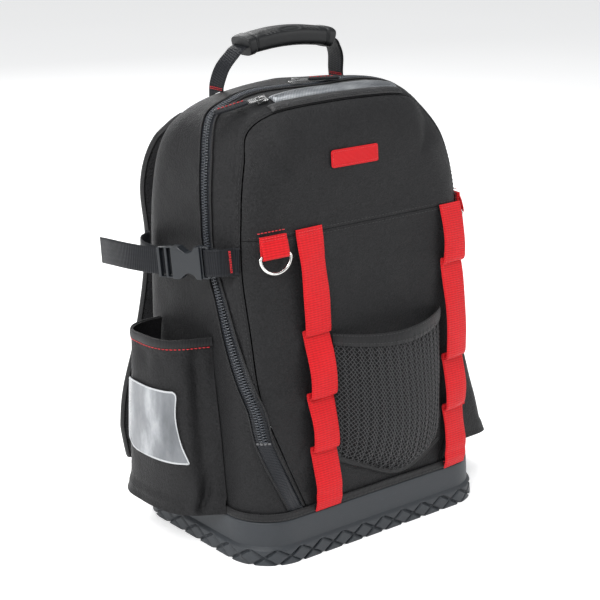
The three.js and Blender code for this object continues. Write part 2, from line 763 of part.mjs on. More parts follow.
// Wire ring on a folded webbing loop, in a frame of side, up and out
function ringSet(side, along, over) {
  const f = skinFrame(along, over);
  const up = f.tangent.clone().multiplyScalar(Math.sign(f.tangent.z));
  const across = V().crossVectors(up, f.out).normalize();
  const frame = frameOf(f.at, across, up, f.out);
  const wireR = ringWire / 2;
  const layer = seat + strapWall / 2;
  const barOut = seat + strapWall + seat + wireR;
  const turnR = wireR + seat + strapWall / 2;
  const barUp = -0.35 * ringLoopHeight;
  const topUp = ringLoopHeight + barUp - 4;
  const path = [V(0, topUp, layer), V(0, 0.4 * topUp, layer), V(0, barUp, layer)];
  const turns = 6;
  for (let i = 1; i < turns; i += 1) {
    const a = Math.PI * i / turns;
    path.push(V(0, barUp - turnR * Math.sin(a), barOut - turnR * Math.cos(a)));
  }
  path.push(V(0, barUp, barOut + turnR), V(0, 0.3 * topUp, barOut + 0.8));
  path.push(V(0, 0.7 * topUp, layer + strapWall + 0.4), V(0, topUp, layer + strapWall + 0.35));
  add(`ring_loop_${side}`, 'red', band(path, ringLoopWidth, strapWall, V(1, 0, 0)), frame);

  const half = ringWidth / 2 - wireR;
  const drop = ringDrop - wireR;
  const centre = [];
  const arcs = 14;
  for (let i = 0; i <= arcs; i += 1) {
    const a = Math.PI * i / arcs;
    centre.push(V(half * Math.cos(a), barUp - 2 - drop * Math.sin(a), barOut));
  }
  centre.push(V(-half + 1.6, barUp, barOut), V(0, barUp, barOut), V(half - 1.6, barUp, barOut));
  const rings = centre.map((p, i) => {
    const before = centre[(i + centre.length - 1) % centre.length];
    const after = centre[(i + 1) % centre.length];
    const flat = V(after.y - before.y, before.x - after.x, 0).normalize();
    return Array.from({ length: 6 }, (_, k) => p.clone()
      .addScaledVector(flat, wireR * Math.cos(k * Math.PI / 3))
      .add(V(0, 0, wireR * Math.sin(k * Math.PI / 3))));
  });
  add(`d_ring_${side}`, 'nickel', torusLoft(rings), frame);
  return { at: V(0, barUp, barOut).applyMatrix4(frame), axis: across };
}

// Zip slider with its pull, in a frame along the zip. way is the end to which the pull lies
function zipPull(name, along, over, lift, way) {
  const f = skinFrame(along, over);
  const frame = frameOf(f.at, f.tangent, V().crossVectors(f.out, f.tangent), f.out);
  const sunk = 0.5;
  const eyeMid = lift + sliderDeck + eyeHeight / 2;
  const armHeight = eyeHeight + eyeBridge + sunk;
  const armMid = lift + sliderDeck - sunk + armHeight / 2;
  const shoe = solid(box(sliderLength, sliderWidth, sliderDeck, [0, 0, lift + sliderDeck / 2]));
  const arm = solid(box(eyeLength + 2 * eyeBridge, sliderArmWidth, armHeight, [0, 0, armMid]));
  const eye = solid(box(eyeLength, sliderArmWidth + 1, eyeHeight, [0, 0, eyeMid]));
  add(`${name}_slider`, 'nickel', surface(shoe.add(arm.subtract(eye))), frame);

  const bar = pullerThickness / 2;
  const half = pullerWidth / 2;
  const narrow = half - pullerThickness;
  const link = plate(
    [[bar, -half], [bar, half], [-0.6 * pullerLength, half], [-pullerLength, narrow],
      [-pullerLength, -narrow], [-0.6 * pullerLength, -half]].map(([x, y]) => [-way * x, y]),
    [slot(-bar, -bar - pullerHole, 0.58 * half).map(([x, y]) => [-way * x, y])],
    pullerThickness,
  ).translate(0, 0, eyeMid);
  add(`${name}_puller`, 'nickel', link, frame);
  const tabStart = pullerLength + seat;
  const tab = curve([
    V(way * tabStart, 0, eyeMid), V(way * (tabStart + 0.5 * pullTabLength), 0, eyeMid - 0.01 * pullTabLength),
    V(way * (tabStart + pullTabLength), 0, eyeMid - 0.04 * pullTabLength),
  ], 6);
  const wide = (t) => pullTabWidth * (1 + 0.25 * Math.sin(Math.PI * t));
  add(`${name}_pull_tab`, 'webbing', band(tab, wide, pullTabThickness, V(0, 1, 0)), frame);
  return { at: V(0, 0, eyeMid).applyMatrix4(frame), axis: V(0, 1, 0).transformDirection(frame) };
}

// Strap round the left side with a closed side release buckle
const buckleFront = V(-bodyHalfWidth - buckleStandOff, -0.245 * bodyDepth, sideStrapHeight);
const buckleWay = V(-27, 56, -6).normalize();
function sideStrap() {
  const out = V(-buckleWay.y, buckleWay.x, 0).normalize();
  const up = V().crossVectors(out, buckleWay).normalize();
  const frame = frameOf(buckleFront, buckleWay, up, out);
  const local = (x, z) => V(x, 0, z).applyMatrix4(frame);
  const half = buckleHeight / 2;
  const socketEnd = 0.7 * buckleLength;
  const bar = buckleBar;
  const scallop = (sign) => [0.34, 0.42, 0.52, 0.62, 0.71, 0.8].map((t, i) => (
    [t * socketEnd, sign * (half - [0, 4.6, 6.6, 6.2, 3.4, 0][i])]));
  const socketLine = [
    [0, -half + 2], [2, -half], ...scallop(-1), [socketEnd, -half], [socketEnd, half],
    ...scallop(1).reverse(), [2, half], [0, half - 2],
  ];
  const webHalf = sideWebWidth / 2 + 0.8;
  const socketSlot = slot(bar, bar + 4.6, webHalf);
  const socket = solid(plate(socketLine, [socketSlot], buckleThickness));
  const step = solid(box(2 * (bar + 5.6), buckleHeight + 2, buckleThickness, [0, 0, 2.1 + buckleThickness / 2]));
  const under = solid(box(2 * (bar + 5.6), buckleHeight + 2, buckleThickness, [0, 0, -2.1 - buckleThickness / 2]));
  add('buckle_socket', 'plastic', surface(socket.subtract(step).subtract(under)), frame);
  const [plugStart, plugEnd] = [socketEnd + seat, buckleLength];
  const rung = (plugEnd - plugStart - bar) / 2;
  const plug = solid(plate(
    [[plugStart, -half + 0.6], [plugEnd, -half + 1.4], [plugEnd, half - 1.4], [plugStart, half - 0.6]], [], 5,
  ));
  const rungs = [[plugStart + 1.6, plugStart + rung - 0.6], [plugStart + rung + 2, plugEnd - bar + 0.6]];
  const ladder = rungs.map(([x0, x1]) => solid(box(x1 - x0, 2 * webHalf, 8, [(x0 + x1) / 2, 0, 0])));
  add('buckle_plug', 'plastic', surface(plug.subtract(ladder[0]).subtract(ladder[1])), frame);

  const along = sideStrapHeight - baseHeight;
  const lift = seat + strapWall / 2;
  const start = skinFrame(along, 0.66 * frontCornerRadius);
  const leave = skinFrame(along, 0.56 * frontCornerRadius);
  const front = [
    start.at.addScaledVector(start.out, lift + 0.5), leave.at.addScaledVector(leave.out, lift + 1.4),
    local(-14, 1.8), local(-2, 3.3), local(bar / 2, 3.4), local(bar + 1.8, 2), local(bar + 2.1, 0),
    local(bar + 1.8, -2), local(bar / 2, -3.4), local(-2, -3.3), local(-10, -1.6),
  ];
  add('side_strap_front', 'webbing', band(curve(front, 36), sideWebWidth, strapWall, up));

  const nearLayer = -4;
  const farLayer = -7.4;
  const turnLayer = (nearLayer + farLayer) / 2;
  // Places behind the buckle: how far out from the side, how far back and how far down
  const behind = (out, back, down) => V(-bodyHalfWidth - out, back * bodyDepth / 2, sideStrapHeight - down);
  const rear = [
    behind(lift, 0.761, 10), behind(lift + 1, 0.69, 10), behind(18, 0.602, 9), behind(33, 0.407, 8),
    local(buckleLength + 6, farLayer - 1.5), local(buckleLength - 4, farLayer), local(plugStart + 4, farLayer),
    local(plugStart + 1.6, turnLayer), local(plugStart + 4, nearLayer), local(buckleLength - 4, nearLayer),
    local(buckleLength + 5, nearLayer + 0.6), behind(tailStandOff, 0.354, 7), behind(tailStandOff, 0.655, 10),
    behind(tailStandOff - 6, 0.938, 15),
  ];
  add('side_strap_rear', 'webbing', band(curve(rear, 38), sideWebWidth, strapWall, V(0, 0, 1)));
}

// Carrying handle: one webbing from foot to foot, with a moulded grip round its middle
function handle() {
  const rise = gripRise;
  const footZ = topAt(handleHalfSpan, handleDepthPlace);
  const gripPlace = handleDepthPlace - handleLean;
  const half = [
    V(handleHalfSpan, handleDepthPlace, footZ + handleFootClear),
    V(0.99 * handleHalfSpan, handleDepthPlace, footZ + 0.2 * rise),
    V(0.94 * handleHalfSpan, handleDepthPlace - 0.4 * handleLean, crownHeight + 0.38 * rise),
    V(0.84 * handleHalfSpan, handleDepthPlace - 0.8 * handleLean, crownHeight + 0.66 * rise),
    V(gripHalfLength, gripPlace, crownHeight + 0.83 * rise),
    V(0.5 * gripHalfLength, gripPlace, crownHeight + 0.96 * rise),
  ];
  const points = [
    ...half.map((p) => V(-p.x, p.y, p.z)), V(0, gripPlace, crownHeight + rise), ...half.slice().reverse(),
  ];
  const line = new THREE.CatmullRomCurve3(points, false, 'centripetal');
  add('handle_web', 'webbing', band(
    line.getSpacedPoints(30), handleWebWidth, strapWall, V(0, 1, 0), (x, y) => topAt(x, y) + handleFootClear,
  ));
  const count = 10;
  const section = (t, wide, thick, power) => {
    const p = line.getPointAt(t);
    const way = line.getTangentAt(t);
    const up = V().crossVectors(way, V(0, 1, 0)).normalize();
    return Array.from({ length: count }, (_, k) => {
      const a = (k + 0.5) * 2 * Math.PI / count;
      const [c, s] = [Math.cos(a), Math.sin(a)];
      return p.clone().add(V(0, wide / 2 * Math.sign(c) * Math.abs(c) ** power, 0))
        .addScaledVector(up, thick / 2 * Math.sign(s) * Math.abs(s) ** power);
    });
  };
  const steps = 10;
  const [first, last] = [0.245, 0.755];
  const outer = [];
  const inner = [];
  for (let i = 0; i <= steps; i += 1) {
    const t = lerp(first, last, i / steps);
    const swell = 0.96 + 0.04 * Math.sin(Math.PI * i / steps);
    outer.push(section(t, gripWidth * swell, gripThickness * swell, 0.62));
    inner.push(section(t, handleWebWidth + 4 * seat, 3 * strapWall, 0.16));
  }
  add('handle_grip', 'plastic', torusLoft([...outer, ...inner.reverse()]));
}

// Shoulder harness behind the back panel. Pads below the yoke: shares of the half width, the stand-off and
// the crown's height
const padRows = [
  [0.548, 0.85, 0.81], [0.578, 1, 0.749], [0.554, 1, 0.628], [0.596, 0.975, 0.506],
  [0.699, 0.925, 0.364], [0.819, 0.9, 0.235], [0.861, 0.825, 0.093],
];
function harness() {
  const panelBack = backPlane + backPanelProud;
  const reach = 0.53 * bodyHalfWidth;
  const yokeOutline = [[-1, -15], [-0.91, -20], [0.91, -20], [1, -15], [0.955, 14], [-0.955, 14]];
  const yoke = plate(yokeOutline.map(([share, up]) => [share * reach, up]), [], yokeThickness);
  const yokeHeight = crownHeight - yokeBelowCrown;
  const yokeMiddle = V(0, panelBack + seat + yokeThickness / 2, yokeHeight);
  const yokeFrame = frameOf(yokeMiddle, V(-1, 0, 0), V(0, 0, 1), V(0, 1, 0));
  add('harness_yoke', 'webbing', yoke, yokeFrame);
  [-1, 1].forEach((side) => {
    const name = side < 0 ? 'left' : 'right';
    const seated = panelBack + yokeThickness + seat;
    const points = [
      V(0.41 * bodyHalfWidth, seated + 5.9, yokeHeight + 2), V(0.476 * bodyHalfWidth, seated + 16.2, yokeHeight - 14),
      ...padRows.map(([out, back, high]) => (
        V(out * bodyHalfWidth, panelBack + back * padStandOff, high * crownHeight))),
    ].map((p) => V(side * p.x, p.y, p.z));
    const padFoot = points[points.length - 1];
    const line = new THREE.CatmullRomCurve3(points, false, 'centripetal');
    const steps = 16;
    const rings = [];
    for (let i = 0; i <= steps; i += 1) {
      const t = i / steps;
      const p = line.getPointAt(t);
      const way = line.getTangentAt(t);
      const across = V().crossVectors(way, V(0, 1, 0)).normalize();
      const out = V().crossVectors(across, way).normalize();
      const round = Math.min(1, 6 * t + 0.5, 6 * (1 - t) + 0.45);
      const wide = harnessWidth * (1 - 0.14 * t) * round ** 0.5;
      rings.push(Array.from({ length: 8 }, (_, k) => {
        const a = (k + 0.5) * Math.PI / 4;
        const [c, s] = [Math.cos(a), Math.sin(a)];
        return p.clone().addScaledVector(across, wide / 2 * Math.sign(c) * Math.abs(c) ** 0.55)
          .addScaledVector(out, harnessThickness / 2 * Math.sign(s) * Math.abs(s) ** 0.7);
      }));
    }
    add(`shoulder_pad_${name}`, 'spacer', loft(rings));
    const [footX, footOut] = [Math.abs(padFoot.x), padFoot.y - panelBack];
    const web = [
      V(footX - 31, seat + 1, 50), V(footX - 29, seat + 1.6, 34), V(footX - 11, 0.24 * footOut, 10),
      V(footX - 1, 0.52 * footOut, -8), V(footX + 1, 0.8 * footOut, -15), V(footX + 1, 0.97 * footOut, -10),
      V(footX, footOut, -1.2),
    ].map((p) => V(side * p.x, panelBack + p.y, padFoot.z + p.z));
    add(`lower_web_${name}`, 'webbing', band(curve(web, 14), lowerWebWidth, strapWall, V(1, 0, 0)));
  });
}

// Plain woven label where the front carries one
function label() {
  const left = -labelWidth / 2 - labelLeftOfMiddle;
  const foot = crownHeight - labelBelowCrown - labelHeight / 2;
  const place = (v, u, out) => frontPoint(left + u * labelWidth, foot + v * labelHeight, out);
  add('front_label', 'red', wall(2, 6, (v, u) => place(v, u, seat + 1), (v, u) => place(v, u, seat)));
}

base();
shell();
pockets();
const strapFoot = baseHeight + 4 * seat;
redStrap('red_strap_left', {
  top: leftStrapTop, foot: strapFoot, xTop: leftStrapX, xFoot: leftStrapX + leftStrapStep,
  tacks: [249, 179, 119], bows: [7, 11, 9, 8],
});
redStrap('red_strap_right', {
  top: rightStrapTop, foot: strapFoot, xTop: rightStrapX, xFoot: rightStrapX - rightStrapStep,
  tacks: [293, 182, 122], bows: [7, 9, 8, 7],
});
netPocket();
const ringAlong = ringHeight - baseHeight;
const mainPullAlong = archHalf - 22;
const joints = {
  ringLeft: ringSet('left', ringAlong, 1.43 * frontCornerRadius),
  ringRight: ringSet('right', archWhole - ringAlong, 0.45 * frontCornerRadius),
  mainPull: zipPull('main_zip', mainPullAlong, zipOver(mainPullAlong), zipChainProud + seat, 1),
  frontPull: zipPull('front_zip', archHalf - 92, 0.32 * crownCornerRadius, seat, -1),
};
backpack.userData.joints = joints;
sideStrap();
handle();
harness();
label();
export default backpack;
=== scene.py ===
# %% [markdown]
# A tool backpack: a soft black shell on a moulded rubber base, with red webbing, chunky zips, a net
# pocket and a moulded carrying handle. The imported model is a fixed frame: every surface below is worked
# out in its millimetres, so that each one lies where its solid does.

# %% Load the frame
import math
import bpy
import numpy as np
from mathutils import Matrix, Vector


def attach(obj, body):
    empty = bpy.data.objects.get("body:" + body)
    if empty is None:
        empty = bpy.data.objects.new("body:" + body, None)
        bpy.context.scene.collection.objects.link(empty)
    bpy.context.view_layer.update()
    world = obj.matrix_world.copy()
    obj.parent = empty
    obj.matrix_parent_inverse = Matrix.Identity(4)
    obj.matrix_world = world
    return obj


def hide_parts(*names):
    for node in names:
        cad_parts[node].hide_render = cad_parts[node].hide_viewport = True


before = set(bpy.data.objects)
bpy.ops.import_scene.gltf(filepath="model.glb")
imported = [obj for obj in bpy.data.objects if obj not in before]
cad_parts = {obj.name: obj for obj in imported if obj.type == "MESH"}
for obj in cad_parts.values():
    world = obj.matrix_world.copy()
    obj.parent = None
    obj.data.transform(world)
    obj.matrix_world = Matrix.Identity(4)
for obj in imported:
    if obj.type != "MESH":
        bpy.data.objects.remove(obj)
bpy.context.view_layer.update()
MM = 0.001

# %% [markdown]
# The camera comes first. A camera looks along its own -Z, so a tracking rotation from the place to the
# target turns it; angles typed by hand wouldn't say what it looks at. The long lens at about 1.8 m gives
# the calm perspective of a catalogue picture.

# %% Camera
camera_place = Vector((-1.1193, -1.3600, 0.7840))
camera_target = Vector((-0.018, 0.0, 0.249))
lens = bpy.data.cameras.new("camera")
lens.sensor_width = 36.0
lens.lens = 96.6
camera = bpy.data.objects.new("camera", lens)
camera.location = camera_place
camera.rotation_euler = (camera_target - camera_place).to_track_quat("-Z", "Y").to_euler()
bpy.context.scene.collection.objects.link(camera)
bpy.context.scene.camera = camera
print("camera distance", round((camera_target - camera_place).length, 3))

# %% [markdown]
# Soft studio light is a few large area lights and a bright world. A picture of a studio could light it
# too, but each lamp here can be moved by itself. A large light wraps round black cloth and draws one
# broad highlight on rubber and webbing. The camera sees a brighter world than the cloth does, so that
# the backdrop is white and black stays black.


# %% Lights and floor
def area_light(name, place, target, size, power):
    """A square area light at a place, turned to a target."""
    data = bpy.data.lights.new(name, "AREA")
    data.size = size
    data.energy = power
    lamp = bpy.data.objects.new(name, data)
    lamp.location = place
    lamp.rotation_euler = (Vector(target) - Vector(place)).to_track_quat("-Z", "Y").to_euler()
    bpy.context.scene.collection.objects.link(lamp)


middle = (0.0, 0.0, 0.28)
area_light("key", (-1.9, -1.2, 2.1), middle, 1.0, 56)
area_light("top", (0.0, 0.2, 2.6), middle, 1.3, 32)
area_light("fill", (1.7, -1.9, 1.2), middle, 1.4, 20)
area_light("side", (-2.4, 0.7, 1.1), middle, 0.9, 20)
area_light("back", (0.7, 2.4, 1.7), middle, 1.3, 30)
world = bpy.data.worlds.new("studio")
world.use_nodes = True
sky = world.node_tree
backdrop = sky.nodes["Background"]
backdrop.inputs["Color"].default_value = (0.93, 0.95, 0.97, 1.0)
seen = sky.nodes.new("ShaderNodeLightPath")
level = sky.nodes.new("ShaderNodeMapRange")
level.inputs["To Min"].default_value = 0.34
level.inputs["To Max"].default_value = 0.86
sky.links.new(seen.outputs["Is Camera Ray"], level.inputs["Value"])
sky.links.new(level.outputs["Result"], backdrop.inputs["Strength"])
bpy.context.scene.world = world
bpy.context.scene.view_settings.view_transform = "Standard"

# %% [markdown]
# Shader maths reads like arithmetic when a socket is wrapped in a class. An expression on two values
# adds a Math node. Colours and vectors don't go through Math, which would turn them grey.


# %% Sockets as values
class Term:
    """One output socket of a material's node tree, with the operators that shader maths needs."""

    def __init__(self, paint, socket):
        self.paint = paint
        self.socket = socket

    def math(self, operation, *others):
        """A Math node on this value and the others."""
        values = dict(enumerate((self,) + others))
        return self.paint.node("ShaderNodeMath", {"operation": operation}, values)

    def __add__(self, other):
        return self.math("ADD", other)

    __radd__ = __add__

    def __mul__(self, other):
        return self.math("MULTIPLY", other)

    __rmul__ = __mul__

    def __sub__(self, other):
        return self.math("SUBTRACT", other)

    def __rsub__(self, other):
        return (self * -1.0) + other

    def __truediv__(self, other):
        return self.math("DIVIDE", other)

    def wave(self, pitch):
        """A sine between 0 and 1 that repeats after pitch."""
        return (self * (2.0 * math.pi / pitch)).math("SINE") * 0.5 + 0.5

    def over(self, place, soft):
        """0 below a place and 1 above it, over a soft edge."""
        return ((self - place) / soft + 0.5).math("MINIMUM", 1.0).math("MAXIMUM", 0.0)

# %% [markdown]
# A finish is a small node tree round one Principled shader. Its nodes could be added one by one, but each
# finish here needs the same few kinds, so a builder with one node method keeps a finish to a few lines.


# %% Material builder
def socket_name(word):
    """The shader's name of a socket that is written as a Python word."""
    return word.replace("_", " ").title().replace("Ior", "IOR")


class Paint:
    """A material with one Principled shader and short methods for the nodes that feed it."""

    def __init__(self, name, **constants):
        self.material = bpy.data.materials.new(name)
        self.material.use_nodes = True
        self.tree = self.material.node_tree
        self.shader = self.tree.nodes["Principled BSDF"]
        for socket, value in constants.items():
            self.shader.inputs[socket_name(socket)].default_value = value

    def node(self, kind, settings, sockets, output=0):
        """A node of a kind: its settings first, then the values or links of its sockets."""
        made = self.tree.nodes.new(kind)
        for key, value in settings.items():
            if key != "stops":
                setattr(made, key, value)
                continue
            ramp = made.color_ramp.elements
            while len(ramp) < len(value):
                ramp.new(0.5)
            for stop, (place, colour) in zip(ramp, value):
                stop.position = place
                stop.color = tuple(colour) + (1.0,)
        for key, value in sockets.items():
            if isinstance(value, Term):
                self.tree.links.new(value.socket, made.inputs[key])
            else:
                made.inputs[key].default_value = value
        return Term(self, made.outputs[output])

    def place(self):
        """Object coordinates in metres."""
        return self.node("ShaderNodeTexCoord", {}, {}, "Object")

    def flat(self):
        """The piece's own UV map, in metres: along it, and across it."""
        uv = self.node("ShaderNodeUVMap", {"uv_map": "UVMap"}, {})
        return [self.node("ShaderNodeSeparateXYZ", {}, {0: uv}, k) for k in range(2)]

    def noise(self, size, detail=3.0, rough=0.55, stretch=(1.0, 1.0, 1.0)):
        """Noise of about size metres, between 0 and 1, stretched along the axes."""
        sockets = {0: self.place(), 1: stretch}
        spread = self.node("ShaderNodeVectorMath", {"operation": "MULTIPLY"}, sockets)
        sockets = {"Vector": spread, "Scale": 1.0 / size, "Detail": detail, "Roughness": rough}
        return self.node("ShaderNodeTexNoise", {}, sockets)

    def cells(self, size):
        """Distance from the nearest of many points, about size metres apart."""
        return self.node("ShaderNodeTexVoronoi", {}, {"Vector": self.place(), "Scale": 1.0 / size})

    def ramp(self, value, stops):
        """Colours at places between 0 and 1."""
        return self.node("ShaderNodeValToRGB", {"stops": stops}, {0: value})

    def mix(self, factor, one, two):
        """A colour between two."""
        colours = [c if isinstance(c, Term) else tuple(c) + (1.0,) for c in (one, two)]
        sockets = {0: factor, 6: colours[0], 7: colours[1]}
        return self.node("ShaderNodeMix", {"data_type": "RGBA"}, sockets, 2)

    def bump(self, height, distance, under=None):
        """A Bump node; height 1 stands distance metres proud."""
        sockets = {"Height": height, "Distance": distance, "Strength": 1.0}
        if under:
            sockets["Normal"] = under
        return self.node("ShaderNodeBump", {}, sockets)

    def feed(self, **links):
        """Links values into the shader's sockets and gives the material back."""
        for socket, value in links.items():
            self.tree.links.new(value.socket, self.shader.inputs[socket_name(socket)])
        return self.material


# %% [markdown]
# The shell is black coated polyester. Real black cloth is never one black: the weave catches light, the
# coating varies, and dust lightens the ridges. The weave follows the piece's own UV map in metres.


# %% Cloth, tape and webbing
def body_cloth(name, rough=0.42, gloss=0.2, yarn=0.0016):
    """Plain weave of fine yarns, with slow changes of tone and soft crumples."""
    paint = Paint(name, sheen_weight=0.02, sheen_roughness=0.4, specular_ior_level=gloss)
    along, across = paint.flat()
    warp, weft = along.wave(yarn), across.wave(yarn)
    weave = warp * weft + (1.0 - warp) * (1.0 - weft)
    tone = paint.noise(0.045, 4.0)
    dust = paint.noise(0.006, 5.0, 0.7)
    fleck = paint.noise(0.0019, 2.0, 0.6).over(0.5, 0.35)
    black = paint.ramp(tone, [(0.3, (0.0022, 0.0022, 0.0024)), (0.7, (0.0050, 0.0049, 0.0053))])
    worn = (0.030, 0.030, 0.032)
    colour = paint.mix(weave * 0.12 + dust * 0.12 + fleck * 0.34, black, worn)
    crumple = paint.bump(paint.noise(0.028, 3.0), 0.0022)
    grain = paint.bump(dust, 0.00025, crumple)
    normal = paint.bump(weave + fleck * 1.6, 0.00022, grain)
    return paint.feed(base_color=colour, roughness=tone * 0.22 + rough, normal=normal)


def tape(name, dark, light, rough, pitch, columns=0.0, gloss=0.3):
    """Woven tape: ribs across its length, and columns of yarn where it is a heavier webbing."""
    paint = Paint(name, sheen_weight=0.04, specular_ior_level=gloss)
    along, across = paint.flat()
    rib = along.wave(pitch)
    if columns:
        rib = rib * 0.78 + across.wave(columns) * 0.22
    tone = paint.noise(0.03, 4.0)
    fleck = paint.noise(0.0022, 3.0)
    colour = paint.mix(rib * 0.55 + tone * 0.3 + fleck * 0.15, dark, light)
    soft = paint.bump(tone, 0.0008)
    normal = paint.bump(rib + fleck * 0.3, 0.00034, soft)
    return paint.feed(base_color=colour, roughness=rib * 0.12 + rough, normal=normal)


cloth = body_cloth("body_cloth")
coated_cloth = body_cloth("coated_cloth", 0.2, 0.5)
web_rib, web_yarn = 0.0026, 0.0052
red_web = tape("red_web", (0.32, 0.0025, 0.0045), (0.76, 0.010, 0.016), 0.5, web_rib, web_yarn, 0.18)
black_web = tape("black_web", (0.0015, 0.0017, 0.0022), (0.0105, 0.012, 0.016), 0.42, web_rib, web_yarn, 0.18)
edge_tape = tape("edge_tape", (0.0022, 0.0022, 0.0024), (0.0095, 0.0095, 0.011), 0.38, 0.0018)
zip_tape = tape("zip_tape", (0.0030, 0.0036, 0.0052), (0.010, 0.012, 0.017), 0.32, 0.0018, 0.0030, 0.32)
print("woven finishes ready")


# %% [markdown]
# Moulded parts get a fine grain from the mould, a little wear, and a broad soft gloss. Metal is nickel
# plated, so its roughness changes more than its colour.


# %% Rubber, plastic, metal and vinyl
def moulded(name, dark, light, rough, grain, depth, scuff=0.0, gloss=0.45):
    """Fine mould grain with slow changes of tone, and pale scuffs where asked."""
    paint = Paint(name, specular_ior_level=gloss)
    tone = paint.noise(0.05, 4.0)
    fine = paint.cells(grain)
    worn = paint.noise(0.012, 6.0, 0.75).over(0.66, 0.1) * scuff
    colour = paint.mix(tone * 0.7 + fine * 0.3, dark, light)
    colour = paint.mix(worn, colour, tuple(min(1.0, 2.4 * c) for c in light))
    normal = paint.bump(fine, depth, paint.bump(paint.noise(0.02, 2.0), 0.0005))
    roughness = tone * 0.16 + (worn * 0.2 + rough)
    return paint.feed(base_color=colour, roughness=roughness, normal=normal)


def nickel_plate(name, dull, bright):
    """Plated metal with faint handling marks."""
    paint = Paint(name, metallic=1.0)
    smear = paint.noise(0.004, 5.0, 0.7)
    colour = paint.mix(smear, dull, bright)
    normal = paint.bump(smear, 0.00006)
    return paint.feed(base_color=colour, roughness=smear * 0.22 + 0.13, normal=normal)


def window_vinyl():
    """Milky clear vinyl: cloudy upright streaks and a soft waviness."""
    paint = Paint("clear_vinyl", coat_weight=0.5, coat_roughness=0.08, specular_ior_level=0.5)
    cloud = paint.noise(0.034, 2.0, 0.5, (1.3, 1.3, 0.42))
    fine = paint.noise(0.005, 5.0, 0.7, (1.0, 1.0, 0.5))
    colour = paint.ramp(cloud * 0.8 + fine * 0.2, [
        (0.32, (0.075, 0.082, 0.092)), (0.52, (0.16, 0.170, 0.184)), (0.72, (0.40, 0.415, 0.43)),
    ])
    normal = paint.bump(cloud, 0.0016, paint.bump(fine, 0.0002))
    return paint.feed(base_color=colour, roughness=fine * 0.18 + 0.14, normal=normal)


def spacer():
    """Spacer mesh: rows of small round holes through a knitted face, the holes painted near black as painted
    shade.
    """
    paint = Paint("spacer_mesh", sheen_weight=0.15, specular_ior_level=0.3)
    hole = paint.cells(0.0034)
    tone = paint.noise(0.03, 4.0)
    face = hole.over(0.34, 0.16)
    # The holes take the near-black colour: painted shade inside them. The face's tone varies at random.
    colour = paint.mix(face * (tone * 0.6 + 0.5), (0.0020, 0.0020, 0.0024), (0.017, 0.017, 0.019))
    normal = paint.bump(face, 0.0007, paint.bump(tone, 0.001))
    return paint.feed(base_color=colour, roughness=tone * 0.2 + 0.66, normal=normal)


def thread(name, dark, light):
    """Twisted sewing thread."""
    paint = Paint(name, sheen_weight=0.1)
    twist = paint.noise(0.0016, 3.0)
    return paint.feed(base_color=paint.mix(twist, dark, light), roughness=twist * 0.2 + 0.4)


rubber = moulded("base_rubber", (0.017, 0.020, 0.024), (0.030, 0.035, 0.041), 0.46, 0.0011, 0.00010, 0.2)
grip_rubber = moulded("grip_rubber", (0.0030, 0.0034, 0.0040), (0.0066, 0.0074, 0.0084), 0.38, 0.0009,
                      0.00002, gloss=0.36)
buckle_plastic = moulded("buckle_plastic", (0.0085, 0.0105, 0.0130), (0.017, 0.020, 0.024), 0.26, 0.0008,
                         0.00003)
coil_nylon = moulded("coil_nylon", (0.014, 0.017, 0.022), (0.046, 0.052, 0.064), 0.15, 0.0007, 0.00003,
                     gloss=0.6)
nickel = nickel_plate("nickel", (0.56, 0.56, 0.54), (0.82, 0.82, 0.80))
dark_nickel = nickel_plate("dark_nickel", (0.38, 0.38, 0.38), (0.70, 0.70, 0.69))
vinyl = window_vinyl()
vinyl_edge = moulded("vinyl_edge", (0.36, 0.375, 0.39), (0.52, 0.53, 0.54), 0.20, 0.002, 0.00005)
mesh_cloth = spacer()
strand = thread("net_strand", (0.012, 0.012, 0.013), (0.042, 0.042, 0.045))
red_thread = thread("red_thread", (0.42, 0.006, 0.012), (0.78, 0.016, 0.024))
black_thread = thread("black_thread", (0.006, 0.006, 0.0065), (0.022, 0.022, 0.024))
grey_thread = thread("grey_thread", (0.13, 0.13, 0.135), (0.26, 0.26, 0.27))
print("moulded, metal and thread finishes ready")

# %% [markdown]
# A soft piece is a ring of points carried along rows, like the ribs of a boat. Modifiers could thicken
# an open sheet, but a lattice with its own inner face keeps both faces where the solid has them. One
# function closes such a lattice, with a UV map in metres so that weave and ribs keep their real scale.


# %% Closed meshes from rows of rings
def grid_of(rows, columns):
    """Every pair of a row's value and a column's value, as a lattice."""
    return np.stack(np.meshgrid(rows, columns, indexing="ij"), -1)


def ring_faces(rows, columns, ends):
    """Quads between the rows, which close round, each corner's UV place, and the caps of the two ends."""
    i, j = grid_of(np.arange(rows - (ends != "closed")), np.arange(columns)).reshape(-1, 2).T
    corner_i = np.stack([i, i, i + 1, i + 1], -1)
    corner_j = np.stack([j, j + 1, j + 1, j], -1)
    quads = (corner_i % rows) * columns + corner_j % columns
    last = (rows - 1) * columns
    caps = np.zeros((0, 4), int)
    fans = np.zeros((0, 3), int)
    if ends == "strip":
        k = np.arange(columns // 2 - 1)
        first = np.stack([k + 1, k, columns - 1 - k, columns - 2 - k], -1)
        caps = np.vstack([first, first[:, ::-1] + last])
    if ends == "fan":
        k = np.arange(columns)
        n = (k + 1) % columns
        tip = np.full(columns, rows * columns)
        fans = np.vstack([np.stack([n, k, tip], -1), np.stack([k + last, n + last, tip + 1], -1)])
    return quads, corner_i * (columns + 1) + corner_j, caps, fans


def lengths(points, axis):
    """Running length of a lattice along an axis, averaged over the other."""
    step = np.linalg.norm(np.diff(points, axis=axis), axis=-1).mean(axis=1 - axis)
    return np.concatenate([[0.0], np.cumsum(step)])


